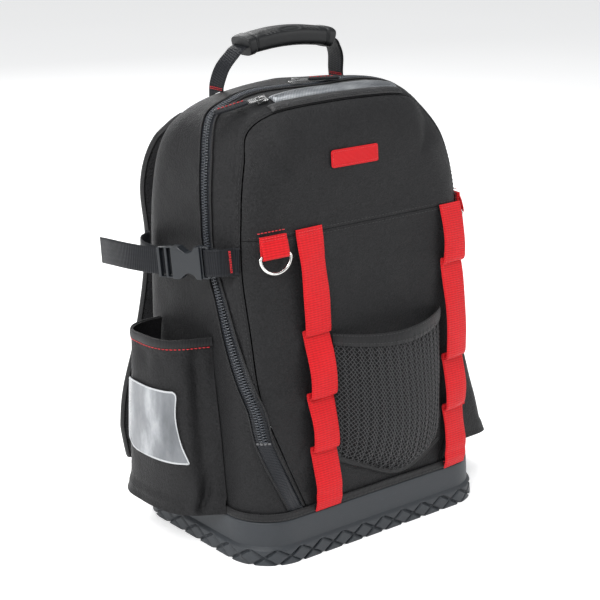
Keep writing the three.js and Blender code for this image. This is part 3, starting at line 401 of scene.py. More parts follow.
def ring_uv(points, uv, closed):
    """UV of a lattice, with one column and one row more, so that the closing quads don't fold back."""
    if uv is None:
        around = lengths(np.concatenate([points, points[:, :1]], 1), 1)
        grid = grid_of(lengths(points, 0), around)
    else:
        grid = np.concatenate([uv, uv[:, :1]], 1)
    extra = 2 * grid[-1:] - grid[-2:-1] if closed else grid[-1:]
    return np.concatenate([grid, extra])


def make(name, points, paint, body="bag", node=None, ends="strip", uv=None, sharp=48.0):
    """A closed mesh from a lattice (rows, columns, 3), or from many alike (copies, rows, columns, 3)."""
    stack = points if points.ndim == 4 else points[None]
    copies, rows, columns = stack.shape[:3]
    quads, places, caps, fans = ring_faces(rows, columns, ends)
    grid = ring_uv(stack[0], uv, ends == "closed")
    plain = grid[:rows, :columns].reshape(-1, 2)
    if ends == "fan":
        tips = stack[:, [0, -1]].mean(axis=2)
        stack = np.concatenate([stack.reshape(copies, -1, 3), tips], 1)
        plain = np.vstack([plain, plain[:columns].mean(0), plain[-columns:].mean(0)])
    verts = stack.reshape(copies, -1, 3)
    shift = (np.arange(copies) * verts.shape[1])[:, None, None]
    four = (np.vstack([quads, caps])[None] + shift).reshape(-1, 4)
    three = (fans[None] + shift).reshape(-1, 3)
    uv_four = np.tile(np.concatenate([grid.reshape(-1, 2)[places], plain[caps]]), (copies, 1, 1))
    uv_three = np.tile(plain[fans], (copies, 1, 1))
    flat = verts.reshape(-1, 3)
    a, b, c, d = (flat[four[:, k]] for k in range(4))
    volume = (np.cross(a, b) * c).sum() + (np.cross(a, c) * d).sum()
    p, q, r = (flat[three[:, k]] for k in range(3))
    volume += (np.cross(p, q) * r).sum()
    if volume < 0:
        four, three, uv_four, uv_three = (k[:, ::-1] for k in (four, three, uv_four, uv_three))
    mesh = bpy.data.meshes.new(name)
    mesh.from_pydata((flat * MM).tolist(), [], four.tolist() + three.tolist())
    layer = mesh.uv_layers.new(name="UVMap")
    layer.data.foreach_set("uv", np.concatenate([uv_four.ravel(), uv_three.ravel()]) * MM)
    mesh.shade_smooth()
    mesh.set_sharp_from_angle(angle=math.radians(sharp))
    mesh.materials.append(paint)
    piece = bpy.data.objects.new(name, mesh)
    bpy.context.scene.collection.objects.link(piece)
    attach(piece, body)
    if node:
        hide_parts(*([node] if isinstance(node, str) else node))
    print(name, len(four) * 2 + len(three), "triangles")
    return piece


def make_wall(name, outer, inner, along, across, paint, node):
    """A sheet with a thickness: closed rings over its outer face and back under its inner one."""
    uv = np.stack(np.broadcast_arrays(along, across), -1)
    rings, places = (np.concatenate([face, back[:, ::-1]], 1) for face, back in ((outer, inner), (uv, uv)))
    return make(name, rings, paint, node=node, uv=places)


# %% [markdown]
# A few helpers shape every piece: a smooth curve through a short table, an even curve through points, a
# profile carried along a path, and a gentle noise that makes cloth lie unevenly.


# %% Curves and noise
rearward, upward = np.array([0.0, 1.0, 0.0]), np.array([0.0, 0.0, 1.0])


def unit(vectors):
    """Vectors at length one."""
    return vectors / np.maximum(np.linalg.norm(vectors, axis=-1, keepdims=True), 1e-9)


def turns(count, start=0.0):
    """Even angles round a circle."""
    return (np.arange(count) + start) * 2 * np.pi / count


def squarish(turn, power):
    """Sideways and upward places of a circle that is pushed out into a rounded rectangle."""
    circle = np.stack([np.cos(turn), np.sin(turn)], -1)
    return (np.sign(circle) * np.abs(circle) ** power).T


def run_of(line):
    """Running length along a line of points."""
    return np.concatenate([[0.0], np.cumsum(np.linalg.norm(np.diff(line, axis=0), axis=1))])


def lerp(a, b, t):
    """The value a share t of the way from a to b."""
    return a + (b - a) * t


def smooth(rows, at):
    """Cubic curve through rows of (at, value); a row's slope is that of the line between its neighbours."""
    x, y = np.array(rows, float).T
    k = np.arange(len(x))
    before, after = np.maximum(k - 1, 0), np.minimum(k + 1, len(x) - 1)
    slope = (y[after] - y[before]) / (x[after] - x[before])
    i = np.clip(np.searchsorted(x, at, "right") - 1, 0, len(x) - 2)
    span = x[i + 1] - x[i]
    t = np.clip((at - x[i]) / span, 0, 1)
    near, far = (1 - t) ** 2, t * t
    ends = (1 + 2 * t) * near * y[i] + far * (3 - 2 * t) * y[i + 1]
    return ends + span * (t * near * slope[i] + far * (t - 1) * slope[i + 1])


def spline(points, count):
    """Centripetal Catmull-Rom curve through points, as count + 1 places at even lengths."""
    p = np.array(points, float)
    p = np.vstack([2 * p[0] - p[1], p, 2 * p[-1] - p[-2]])
    before, start, end, after = p[:-3], p[1:-2], p[2:-1], p[3:]
    root = np.sqrt(np.linalg.norm(np.diff(p, axis=0), axis=1))[:, None]
    r0, r1, r2 = root[:-2], root[1:-1], root[2:]
    leave = ((start - before) / r0 - (end - before) / (r0 + r1) + (end - start) / r1) * r1
    reach = ((end - start) / r1 - (after - start) / (r1 + r2) + (after - end) / r2) * r1
    t = np.linspace(0, 1, 24, endpoint=False)[:, None, None]
    line = (1 + 2 * t) * (1 - t) ** 2 * start + t * (1 - t) ** 2 * leave
    line = line + t * t * (3 - 2 * t) * end + t * t * (t - 1) * reach
    line = np.vstack([line.transpose(1, 0, 2).reshape(-1, 3), p[-2]])
    return resample(line, count)


def resample(line, count):
    """A line of points at count + 1 even lengths."""
    run = run_of(line)
    even = np.linspace(0, run[-1], count + 1)
    return np.stack([np.interp(even, run, line[:, k]) for k in range(line.shape[1])], -1)


def even_loop(points, count):
    """A closed line through the points, as count places at even lengths."""
    return resample(np.vstack([points, points[:1]]), count)[:count]


def loop_way(loop):
    """Direction along a closed line."""
    return unit(np.roll(loop, -1, 0) - np.roll(loop, 1, 0))


def round_ring(count, side, up, wide, high):
    """Points round each place of a line: wide along side and high along up."""
    turn = turns(count)[:, None]
    return wide * np.cos(turn) * side[:, None] + high * np.sin(turn) * up[:, None]


def sweep(path, side, profile):
    """A profile of (sideways, upwards) places carried along a path. side is the direction of its width."""
    way = unit(np.gradient(path, axis=0))
    side = np.broadcast_to(np.asarray(side, float), path.shape)
    side = unit(side - (side * way).sum(-1, keepdims=True) * way)
    up = np.cross(way, side)
    shape = np.broadcast_to(profile, (len(path),) + np.shape(profile)[-2:])
    return path[:, None] + shape[..., :1] * side[:, None] + shape[..., 1:] * up[:, None]


def ripple(points, size, seed):
    """Smooth noise between about -1 and 1: twelve seeded sine waves, size to twice size mm long."""
    draw = np.random.default_rng(seed)
    way = unit(draw.normal(size=(12, 3))) * (2 * np.pi / (size * draw.uniform(0.9, 2.2, (12, 1))))
    return np.sin(points @ way.T + draw.uniform(0, 2 * np.pi, 12)).sum(-1) / 4.5


def tape_profile(width, thick, columns=10):
    """Outline of a tape: flat faces between round edges."""
    s = np.linspace(-1, 1, columns + 1) * (width / 2 - thick * 0.35)
    edge = np.array([[width / 2, 0.0]])
    top = np.column_stack([s, np.full(len(s), thick / 2)])
    return np.vstack([-edge, top, edge, -top])


def webbing(name, points, profile, path, paint, node):
    """A mesh of a swept tape, whose ribs lie across its length by the UV map."""
    uv = grid_of(run_of(path), profile[:, 0])
    return make(name, points, paint, node=node, ends="fan", uv=uv, sharp=60)


def strap(name, path, side, width, thick, paint, node):
    """Webbing of an even width along a path."""
    profile = tape_profile(width, thick)
    return webbing(name, sweep(path, side, profile), profile, path, paint, node)


# %% [markdown]
# Stitches, net strands and zip teeth are hundreds of small tubes. They are one lattice with a copy for
# each, so numpy works them all out at once and they become one joined mesh.


# %% Many small tubes at once
def tubes(name, paths, radius, paint, body="bag", node=None, sides=4, blunt=0.55, outward=(0, -1, 0)):
    """Tubes along many paths (copies, steps, 3), a little thinner at both ends."""
    way = unit(np.gradient(paths, axis=1))
    side = unit(np.cross(way, np.broadcast_to(outward, paths.shape)))
    up = np.cross(side, way)
    turn = turns(sides, 0.5)
    size = np.full(paths.shape[1], float(radius))
    size[[0, -1]] *= blunt
    reach = size[None, :, None, None]
    ring = np.cos(turn)[:, None] * side[:, :, None] + np.sin(turn)[:, None] * up[:, :, None]
    return make(name, paths[:, :, None] + reach * ring, paint, body, node, "fan", None, 80.0)


def stitch_paths(line, normal, length=3.4, gap=1.3, lift=0.45):
    """Arched stitches along a line: each leaves the cloth, lies on it and goes in again."""
    line, normal = np.broadcast_arrays(line, normal)
    run = run_of(line)
    count = max(int(run[-1] // (length + gap)), 1)
    start = np.arange(count) * (run[-1] / count)
    t = np.linspace(0, 1, 5)
    at = start[:, None] + t * length
    on = np.stack([np.interp(at, run, line[:, k]) for k in range(3)], -1)
    out = unit(np.stack([np.interp(at, run, normal[:, k]) for k in range(3)], -1))
    return on + out * (lift * np.sin(np.pi * t) ** 0.7 - 0.12)[None, :, None]


seams = {"red": [], "black": [], "grey": []}


def sew(colour, line, normal, **how):
    """Keeps the stitches of a seam for the one mesh of their colour."""
    seams[colour].append(stitch_paths(line, normal, **how))


# %% [markdown]
# The body is one skin. Seen from the front its outline is an arch: straight sides, then a squarish
# curve over the top. The skin runs back from the leaning front face round a soft corner to the rear
# seam, so two lengths name any place on it: along the arch, and over the corner.

# %% Sizes of the body
half_width, crown, shoulder = 166.0, 494.0, 325.0
base_height, back_plane, front_foot, lean = 48.0, 113.0, -113.0, 0.085
front_corner, shoulder_corner, crown_corner = 48.0, 84.0, 50.0
rear_corner, rear_shoulder, rear_crown, rear_turn = 50.0, 84.0, 60.0, 1.3
wall, seat, seam_gap, panel_gap = 2.0, 0.3, 0.5, 1.3


def arch_table():
    """Left foot, crown, right foot: an upright side, then a superellipse of power four."""
    turn = np.linspace(0, np.pi / 2, 241)
    x = half_width * np.sqrt(np.cos(turn))
    x[-1] = 0.0
    z = shoulder + (crown - shoulder) * np.sqrt(np.sin(turn))
    half = np.vstack([[half_width, base_height], np.column_stack([x, z])])
    whole_line = np.vstack([half * [-1, 1], half[::-1][1:]])
    return whole_line, run_of(whole_line)


arch_line, arch_run = arch_table()
whole = arch_run[-1]
half_run = whole / 2
print("arch length", round(whole, 1), "mm")

# %% [markdown]
# The sewn shell has no corner that a rounded box could give: its radius grows over the shoulders and is
# small again at the crown. A sculpted box would only come near it, so the skin is a formula of two lengths,
# and each panel, zip and ring is laid on it.


# %% The skin as a function of two lengths
def arch_at(along):
    """Place on the arch and its outward normal."""
    x, z = (np.interp(along, arch_run, arch_line[:, k]) for k in range(2))
    dx, dz = (np.interp(along + 2.0, arch_run, arch_line[:, k])
              - np.interp(along - 2.0, arch_run, arch_line[:, k]) for k in range(2))
    size = np.hypot(dx, dz)
    return x, z, -dz / size, dx / size


corner_rows = [
    (0, front_corner), (0.526, front_corner), (0.666, 0.5 * (front_corner + shoulder_corner)),
    (0.753, shoulder_corner), (0.823, 0.5 * (shoulder_corner + crown_corner)), (1, crown_corner),
]
rear_rows = [
    (0, rear_corner), (0.526, rear_corner), (0.7, 0.5 * (rear_corner + rear_shoulder)),
    (0.82, rear_shoulder), (0.92, 0.5 * (rear_shoulder + rear_crown)), (1, rear_crown),
]
seam_rows = [
    (0, 2.02), (0.15, 1.29), (0.243, 0.94), (0.37, 0.79), (0.464, 0.69), (0.53, 0.7),
    (0.59, 0.74), (0.686, 0.74), (0.753, 0.62), (0.81, 0.58), (0.9, 0.6), (1, 0.6),
]
zip_rows = [
    (0, 1.74), (0.146, 1.0), (0.215, 0.83), (0.257, 0.63), (0.3, 0.45), (0.352, 0.26), (0.417, 0.06),
    (0.473, -0.14), (0.527, -0.25), (0.587, -0.12), (0.636, 0), (0.681, 0.06), (0.73, 0.06),
    (0.787, -0.1), (0.839, -0.32), (0.89, -0.44), (1, -0.5),
]


def share(along):
    """How far up its side a place is, from 0 at the foot to 1 at the crown."""
    return 1 - np.abs(np.asarray(along, float) - half_run) / half_run


def corner_at(along):
    """Radius of the front corner."""
    return smooth(corner_rows, share(along))


def seam_over(along):
    """Where the front panel's seam runs."""
    return smooth(seam_rows, share(along)) * corner_at(along)


def zip_over(along):
    """Where the middle of the main zip runs."""
    return smooth(zip_rows, share(along)) * corner_at(along)


def front_at(z):
    """Depth of the leaning front face."""
    return front_foot + lean * (z - base_height)


def skin(along, over, out=0.0):
    """Point of the skin: over <= 0 is the side and the rear corner, over > 0 turns into the front."""
    along, over, out = np.broadcast_arrays(along, over, out)
    x, z, nx, nz = arch_at(along)
    r, rear = corner_at(along), smooth(rear_rows, share(along))
    turn = np.clip(over / r, 0, np.pi / 2)
    past = np.maximum(over - r * np.pi / 2, 0)
    inward = np.where(over > 0, r - (r + out) * np.cos(turn) + past, -out)
    y = front_at(z - nz * inward) + r - np.where(over > 0, (r + out) * np.sin(turn), over)
    start = back_plane - rear
    behind = (over <= 0) & (y > start)
    rear_angle = np.where(behind, (y - start) / rear, 0)
    inward = np.where(behind, rear - (rear + out) * np.cos(rear_angle), inward)
    y = np.where(behind, start + (rear + out) * np.sin(rear_angle), y)
    return np.stack([x - nx * inward, y, z - nz * inward], -1)


def rear_edge(along):
    """Where the skin ends at the rear seam."""
    _, z, _, _ = arch_at(along)
    rear = smooth(rear_rows, share(along))
    return front_at(z) + corner_at(along) - (back_plane - rear) - rear * rear_turn


def skin_out(along, over):
    """Outward direction of the skin."""
    return unit(skin(along, over, 1.0) - skin(along, over, 0.0))

# %% [markdown]
# What is sewn on the front is placed by its width and height. The same face could be asked for along the
# arch, but a depth for every x and z lets straps, net and label be drawn as they are seen from the front.

# %% The front face as a function of x and z
samples = np.linspace(0, whole, 441)
sample_x, sample_z, sample_nx, sample_nz = arch_at(samples)
sample_r = corner_at(samples)


def front_y(x, z):
    """Depth of the front: flat, then a quarter round within the corner radius of the arch."""
    x, z = np.broadcast_arrays(np.asarray(x, float), np.asarray(z, float))
    px, pz = x.ravel(), z.ravel()
    near = np.concatenate([
        ((px[k:k + 4000, None] - sample_x) ** 2 + (pz[k:k + 4000, None] - sample_z) ** 2).argmin(1)
        for k in range(0, len(px), 4000)
    ])
    inside = -((px - sample_x[near]) * sample_nx[near] + (pz - sample_z[near]) * sample_nz[near])
    r = sample_r[near]
    depth = front_at(pz) + r - np.sqrt(np.maximum(r * r - np.maximum(r - inside, 0) ** 2, 0))
    return depth.reshape(x.shape)


def front_frame(x, z):
    """Point of the front and its outward direction, by differences of 1.5 mm."""
    step = 1.5
    rise_x = front_y(x + step, z) - front_y(x - step, z)
    rise_z = front_y(x, z + step) - front_y(x, z - step)
    x, z = np.broadcast_arrays(np.asarray(x, float), np.asarray(z, float))
    out = unit(np.stack([rise_x, np.full(x.shape, -2 * step), rise_z], -1))
    return np.stack([x, front_y(x, z), z], -1), out


# %% [markdown]
# The rubber base is a moulded tray. Its foot carries a tread of crossing grooves, which is worked out
# as two families of slanting lines round the outline, and its upper band is smooth. A lattice with many
# columns round and few rows up holds real grooves, so that the edge against the floor shows them.

# %% Outline of the base
base_proud, tread_proud, tread_depth, tread_height, tread_pitches = 3.0, 3.6, 2.7, 18.0, 36


def plan_loop(z, grow, count):
    """Rounded rectangle round the base at a height, grown outwards, as count even places."""
    front, back, half = front_at(z) - grow, back_plane + grow, half_width + grow
    arc = np.linspace(0, np.pi / 2, 40)
    parts = []
    for sx, y, start, r in ((1, back, 0, rear_corner), (-1, back, 1, rear_corner),
                            (-1, front, 2, front_corner), (1, front, 3, front_corner)):
        turn = arc + start * np.pi / 2
        cx, cy = sx * (half - r - grow), y - np.sign(y) * (r + grow)
        parts.append(np.stack([cx + (r + grow) * np.cos(turn), cy + (r + grow) * np.sin(turn)], -1))
    line = even_loop(np.vstack(parts), count)
    return np.column_stack([line, np.full(count, z)])


def base_tray():
    """Rows up the outside of the tray, over its lip and down the inside."""
    count = 864
    place = np.arange(count) * (2 * tread_pitches / count)
    foot = base_proud + tread_proud
    shoulder_rows = [(0, 0), (0.35, 0.08), (1, 1)]
    rows = [plan_loop(0.0, foot - 34.0, count), plan_loop(0.0, foot - 6.0, count)]
    half_cell = 2 * (half_width + back_plane) / tread_pitches
    for z in np.linspace(0.0, tread_height + 3.0, 26):
        level = z / (tread_height / 2)
        lines = [np.abs((place + sign * level + 1) % 2 - 1) * half_cell * 0.53 for sign in (-1, 1)]
        groove = tread_depth * np.exp(-(np.minimum(*lines) / 1.35) ** 4)
        groove = groove * np.clip((tread_height - z) / 1.5, 0, 1)
        shoulder_in = tread_proud * smooth(shoulder_rows, np.clip((z - 15.5) / 5.5, 0, 1))
        foot_in = 1.3 * np.clip(1 - z / 1.6, 0, 1) ** 2
        inner, outer = plan_loop(z, foot - 5.0, count), plan_loop(z, foot, count)
        t = (5.0 - groove - shoulder_in - foot_in) / 5.0
        rows.append(inner + (outer - inner) * t[:, None])
    band_and_lip = [
        (23, 3.0), (28, 3.1), (34, 3.15), (40, 3.1), (44, 3.0), (46, 2.9), (47.2, 2.5), (47.8, 1.8),
        (48, 0.8), (47.8, -0.4), (46.5, -1.2), (30, -1.5), (6, -1.5), (4, -8), (4, -34),
    ]
    rows += [plan_loop(float(z), grow, count) for z, grow in band_and_lip]
    points = np.stack(rows)
    make("base_moulding", points, rubber, node="base_tray", ends="fan", sharp=40)


base_tray()

# %% [markdown]
# A narrow tape is bound over the joint of cloth and rubber. A thick curve would do, but rows of the
# base's own outline keep its flat profile on the joint all the way round.


# %% Binding over the joint
def base_binding():
    """A flat tape with round edges that rides a little in and out as sewn tape does."""
    count = 640
    profile = [
        (48.4, 0.9), (48.5, 2.1), (50.5, 2.35), (54.5, 2.35), (56.6, 2.1), (57, 1.6), (56.8, 0.9), (52, 0.8),
    ]
    rows = [plan_loop(z, grow, count) for z, grow in profile]
    points = np.stack(rows)
    points[..., 2] += 0.25 * ripple(points, 38.0, 5)
    points = points.transpose(1, 0, 2)
    make("base_edge_tape", points, edge_tape, node="base_binding", ends="closed")
    line = plan_loop(50.6, 2.5, 400)
    loop = np.vstack([line, line[:1]])
    sew("black", loop, unit(loop * [1, 1, 0]), length=3.6, gap=1.6)


base_binding()

# %% [markdown]
# Each cloth panel of the shell is a wall 2 mm thick between two lines over the skin. Sewn cloth sinks
# at its seams, gathers into short puckers beside them and lies a little unevenly between. All of that
# goes inwards, so what is sewn on top still lies clear.


# %% Cloth panels on the skin
def puckers(run, distance, pitch, seed):
    """Short gathers beside a seam: uneven waves along it that die out within about 9 mm."""
    draw = np.random.default_rng(seed)
    wave = sum(np.sin(run * 2 * np.pi / (pitch * k) + draw.uniform(0, 6.28)) for k in (0.8, 1.27, 2.1))
    return (wave / 3) * np.exp(-distance / 9.0)


def no_fold(along, over):
    """A plain panel has no fold."""
    return 0.0


def skin_panel(name, node, low, high, steps, columns, seed, slack=1.0, fold=no_fold):
    """A wall over the skin from low to high, sunk at both edges, with puckers and slack between."""
    along = np.linspace(seat, whole - seat, steps)[:, None]
    t = np.linspace(0, 1, columns)[None, :]
    start, end = low(along), high(along)
    over = start + (end - start) * t
    reach = np.minimum(over - start, end - over)
    outer = skin(along, over)
    fall = -1.2 * np.exp(-(reach / 2.2) ** 2)
    slack_in = slack * (0.5 * ripple(outer, 52.0, seed) - 0.55) * np.clip(reach / 10, 0, 1)
    gather = 0.55 * (puckers(along, reach, 9.0, seed) - 0.3) * np.clip(reach / 2, 0, 1)
    outer = skin(along, over, np.minimum(fall + slack_in + gather + fold(along, over), 0.0))
    inner = skin(along, over, -wall - 0.4)
    return make_wall(name, outer, inner, along, over, cloth, node)


half_tape = 10.0


def gusset_fold(along, over):
    """A soft fold that runs 7 mm behind the front seam."""
    behind = seam_over(along) - 7.0 - over
    return 0.9 * np.exp(-(behind / 2.4) ** 2) - 0.7 * np.exp(-((behind - 5.5) / 3.4) ** 2)


skin_panel("rear_gusset_cloth", "rear_gusset", rear_edge, lambda a: zip_over(a) - half_tape - 0.25,
           420, 44, 11)
skin_panel("front_gusset_cloth", "front_gusset", lambda a: zip_over(a) + half_tape + 0.25,
           lambda a: seam_over(a) - 0.25, 520, 26, 12, 0.8, gusset_fold)

# %% [markdown]
# The main zip is a chunky coil on a shiny tape. The coil's teeth are capsules that lie across the tape
# by turns a little left and right of its middle. A piping covers each edge where tape meets cloth.

# %% Main zip
coil_ends = (90.0, whole - 90.0)


def main_zip():
    """Tape, teeth and the two pipings, all along the same line over the skin."""
    along = np.linspace(seat, whole - seat, 520)[:, None]
    t = np.linspace(-1, 1, 15)[None, :]
    over = zip_over(along) + t * (half_tape - 0.3)
    ridge = 0.35 * np.exp(-((np.abs(t) * half_tape - 4.6) / 0.9) ** 2)
    outer = skin(along, over, -0.85 + ridge - 0.3 * np.abs(t) ** 6)
    inner = skin(along, over, -2.3)
    make_wall("zip_tape", outer, inner, along, over - zip_over(along), zip_tape, "main_zip")

    pitch = 1.45
    at = np.arange(coil_ends[0], coil_ends[1], pitch)
    side = np.where(np.arange(len(at)) % 2 == 0, 1.0, -1.0)[:, None]
    t = np.linspace(0, 1, 5)[None, :]
    reach = side * lerp(-0.6, 4.3, t)
    rise = 0.35 + 0.95 * np.sin(np.pi * t) ** 0.7
    teeth = skin(at[:, None] + 0.12 * reach, zip_over(at)[:, None] + reach, rise)
    tubes("zip_coil", teeth, 0.95, coil_nylon, sides=6, blunt=0.75, outward=(0.3, -0.5, 0.8))

    for name, sign in (("front", 1), ("rear", -1)):
        run = np.linspace(seat + 11.0, whole - seat - 11.0, 700)
        line = skin(run, zip_over(run) + sign * half_tape, 0.15)
        out = skin_out(run, zip_over(run) + sign * half_tape)
        cord = 1.25 * np.column_stack([np.cos(turns(8)), np.sin(turns(8))])
        side = np.cross(out, unit(np.gradient(line, axis=0)))
        make(f"zip_piping_{name}", sweep(line, side, cord), edge_tape, ends="fan")

    for end, step in ((coil_ends[0], -1), (coil_ends[1], 1)):
        for k in range(2):
            over_at = zip_over(end) + np.linspace(-8.6, 8.6, 9)
            place = np.full(9, end + step * (1.5 + 1.1 * k))
            sew("grey", skin(place, over_at, -0.5), skin_out(place, over_at), length=3.3, gap=0.3, lift=0.8)


main_zip()

# %% [markdown]
# The front is two panels joined by a level seam. Their outline follows the front seam, so the patch
# between its four edges is blended: each point takes its share of the left, right, lower and upper edge.

# %% Front panels
seam_height = 355.0
seam_line_along = np.linspace(0, 0.8 * half_run, 1200)
seam_line = skin(seam_line_along, seam_over(seam_line_along) + panel_gap)[:, [0, 2]]


def along_at(height):
    """Where the front seam reaches a height, on the left."""
    return float(np.interp(height, seam_line[:, 1], seam_line_along))


def seam_point(along):
    """x and z of the front seam."""
    return skin(along, seam_over(along) + panel_gap)[..., [0, 2]]


def patch(left, foot_edge, top_edge, u, v):
    """Coons patch: the blend of opposite edges, less the blend of the corners counted twice."""
    right = left * [-1, 1]
    sides = left + (right - left) * u
    ends = foot_edge + (top_edge - foot_edge) * v
    foot_line = foot_edge[:, :1] + (foot_edge[:, -1:] - foot_edge[:, :1]) * u
    top_line = top_edge[:, :1] + (top_edge[:, -1:] - top_edge[:, :1]) * u
    return ends + sides - foot_line - (top_line - foot_line) * v


def front_panel(name, node, low, high, top_edge, rows, columns, seed, creases=()):
    """One panel of the front, sunk at its seams, with soft slack in the middle."""
    u = np.linspace(0, 1, columns)[None, :, None]
    v = np.linspace(0, 1, rows)[:, None, None]
    left = seam_point(lerp(low, high, v[:, 0, 0]))[:, None]
    foot = seam_point(low)
    foot_edge = np.concatenate([lerp(foot[0], -foot[0], u), np.full(u.shape, foot[1])], -1)
    at = patch(left, foot_edge, top_edge(u), u, v)
    x, z = at[..., 0], at[..., 1]
    base, out = front_frame(x, z)
    unsewn = 0 if low > foot_along else 20
    reach = np.minimum.reduce([
        np.linalg.norm(at - left, axis=-1), np.linalg.norm(at - left * [-1, 1], axis=-1),
        np.abs(z - foot[1]) + unsewn, np.linalg.norm(at - at[-1:], axis=-1),
    ])
    sink = -1.1 * np.exp(-(reach / 2.4) ** 2)
    slack = 0.55 * ripple(base, 46.0, seed) + 0.3 * ripple(base, 21.0, seed + 1) - 0.85
    sink += slack * np.clip(reach / 14, 0, 1)
    sink += 0.5 * (puckers(x + z, reach, 10.0, seed) - 0.3) * np.clip(reach / 2, 0, 1)
    for across, up, slope, size, depth in creases:
        line = z - up - slope * (x - across)
        sink -= depth * np.exp(-(line / size) ** 2 - ((x - across) / (3.2 * size)) ** 2)
    outer = base + out * np.minimum(sink, 0)[..., None]
    inner = base - out * (wall + 0.6)
    return make_wall(name, outer, inner, z, x, cloth, node)


foot_along, low_along = along_at(base_height + seat), along_at(seam_height - seam_gap / 2)
high_along, corner_along = along_at(seam_height + seam_gap / 2), 0.79 * half_run


def level_edge(u):
    """The level seam between the panels."""
    x, z = seam_point(low_along)
    return np.concatenate([lerp(x, -x, u), np.full(u.shape, z)], -1)


def crown_edge(u):
    """The front seam over the crown."""
    return seam_point(lerp(corner_along, whole - corner_along, u[..., 0]))


lower_creases = [
    (-128.0, 196.0, 0.30, 8.0, 2.2), (-118.0, 168.0, -0.25, 7.0, 1.6), (-124.0, 236.0, 0.45, 9.0, 1.5),
    (-104.0, 118.0, 0.7, 9.0, 1.7), (0.0, 292.0, 0.06, 11.0, 1.3), (60.0, 318.0, -0.1, 9.0, 1.1),
]
front_panel("front_cloth_lower", "front_panel_lower", foot_along, low_along, level_edge, 120, 110, 21,
            lower_creases)
front_panel("front_cloth_upper", "front_panel_upper", high_along, corner_along, crown_edge, 70, 130, 23)

# %% [markdown]
# A sewn seam shows a row of short stitches beside it. A painted line would lie flat in the cloth, so each
# stitch is a small tube that stands a little proud.


# %% Stitches of the front seams
def front_seam_stitches():
    """Lines of stitches 3 mm behind the front seam, and on both sides of the level seam."""
    run = np.linspace(foot_along + 12, whole - foot_along - 12, 900)
    over = seam_over(run)
    sew("black", skin(run, over - 3.2, -0.5), skin_out(run, over - 3.2), length=3.4, gap=1.5)
    for z in (seam_height - 3.4, seam_height + 3.4):
        x = np.linspace(seam_point(low_along)[0] + 5, -seam_point(low_along)[0] - 5, 200)
        at, out = front_frame(x, np.full(200, z))
        sew("black", at - out * 0.7, out, length=3.4, gap=1.5)


front_seam_stitches()

# %% [markdown]
# Over the crown a glossy silver cover hides the top of the zip, and a padded black flap lies in front
# of it. Both are crowned strips on the skin. The cover tapers to a point at the left.

# %% Zip cover and flap
band_left, band_reach, band_width, flap_width = 82.0, 94.0, 21.0, 11.0


def crowned_strip(name, node, paint, start, end, low, high, rise, steps, columns):
    """A strip on the skin between two lines; rise gives its height across."""
    along = np.linspace(start, end, steps)[:, None]
    t = np.linspace(0, 1, columns)[None, :]
    first, last = low(along), high(along)
    over = first + (last - first) * t
    closing = np.sqrt(np.clip(np.minimum(along - start, end - along) / 4.0, 0.02, 1))
    outer = skin(along, over, seat + rise(t) * closing)
    inner = skin(along, over, seat)
    return make_wall(name, outer, inner, along, over, paint, node)


def cover_spread(along):
    """Quarter ellipse that gives the cover its pointed ends."""
    return np.sqrt(np.maximum(1 - ((along - half_run) / (band_reach + 4)) ** 2, 0))


def dome(t, power):
    """A low vault: 0 at both edges and 1 in the middle."""
    return np.sin(np.pi * np.clip(t, 0, 1)) ** power


def flap_rise(t):
    """The flap's section: a dome with a dent where its row of stitches pulls it down."""
    return 0.35 + 2.3 * dome(t, 0.5) - 0.35 * np.exp(-((t - 0.82) / 0.06) ** 2)


def silver_finish():
    """Reflective woven band: a bright laminate with fine ribs and long lighter streaks."""
    paint = Paint("silver_band", coat_weight=0.25, coat_roughness=0.2)
    along, across = paint.flat()
    rib = (along + across * 0.6).wave(0.0019)
    streak = paint.noise(0.022, 4.0, 0.6, (0.35, 1.4, 1.4))
    colour = paint.ramp(streak * 0.8 + rib * 0.2, [
        (0.28, (0.090, 0.097, 0.106)), (0.5, (0.21, 0.222, 0.237)), (0.70, (0.50, 0.515, 0.53)),
    ])
    normal = paint.bump(rib, 0.00016, paint.bump(streak, 0.0006))
    metallic = streak * 0.3 + 0.35
    return paint.feed(base_color=colour, roughness=streak * 0.18 + 0.2, metallic=metallic, normal=normal)


silver = silver_finish()
cover_start, flap_start, strip_end = half_run - band_left, half_run - band_reach, half_run + band_reach
crowned_strip("zip_cover", "top_zip_band", silver, cover_start, strip_end,
              lambda a: seam_over(a) - flap_width - 2 - band_width * cover_spread(a),
              lambda a: seam_over(a) - flap_width - 1.5,
              lambda t: 0.5 + 2.5 * dome(t, 0.6), 240, 21)
crowned_strip("crown_flap", "rain_flap", coated_cloth, flap_start, strip_end,
              lambda a: seam_over(a) - flap_width - 0.5, lambda a: seam_over(a) - 1.0,
              flap_rise, 240, 17)

# %% [markdown]
# A folded edge is stitched down along its foot, so that it lies on the seam and doesn't flutter.


# %% Stitches along the flap
def flap_stitches():
    """A line of stitches along the foot of the flap."""
    run = np.linspace(flap_start + 6, strip_end - 6, 300)
    over = seam_over(run) - 3.0
    sew("black", skin(run, over, 2.1), skin_out(run, over), length=3.0, gap=1.4)


flap_stitches()

# %% [markdown]
# Webbing is a flat tape that bows out between tacks. The red straps are sewn down at a few heights and
# stand off between them; each loop bulges most low down and then steps in sharply at its tack. A cloth
# simulation would let them hang anyhow, so a curve through chosen places gives each loop its form.

# %% Red straps
strap_thick, red_width = 1.6, 36.0
past_binding = 2.3
above_binding = 59.0
strap_foot = base_height + 4 * seat


def past_tape(z):
    """How far what runs over the base's binding stands off at a height."""
    return past_binding * np.clip((above_binding + 8 - z) / 8, 0, 1)


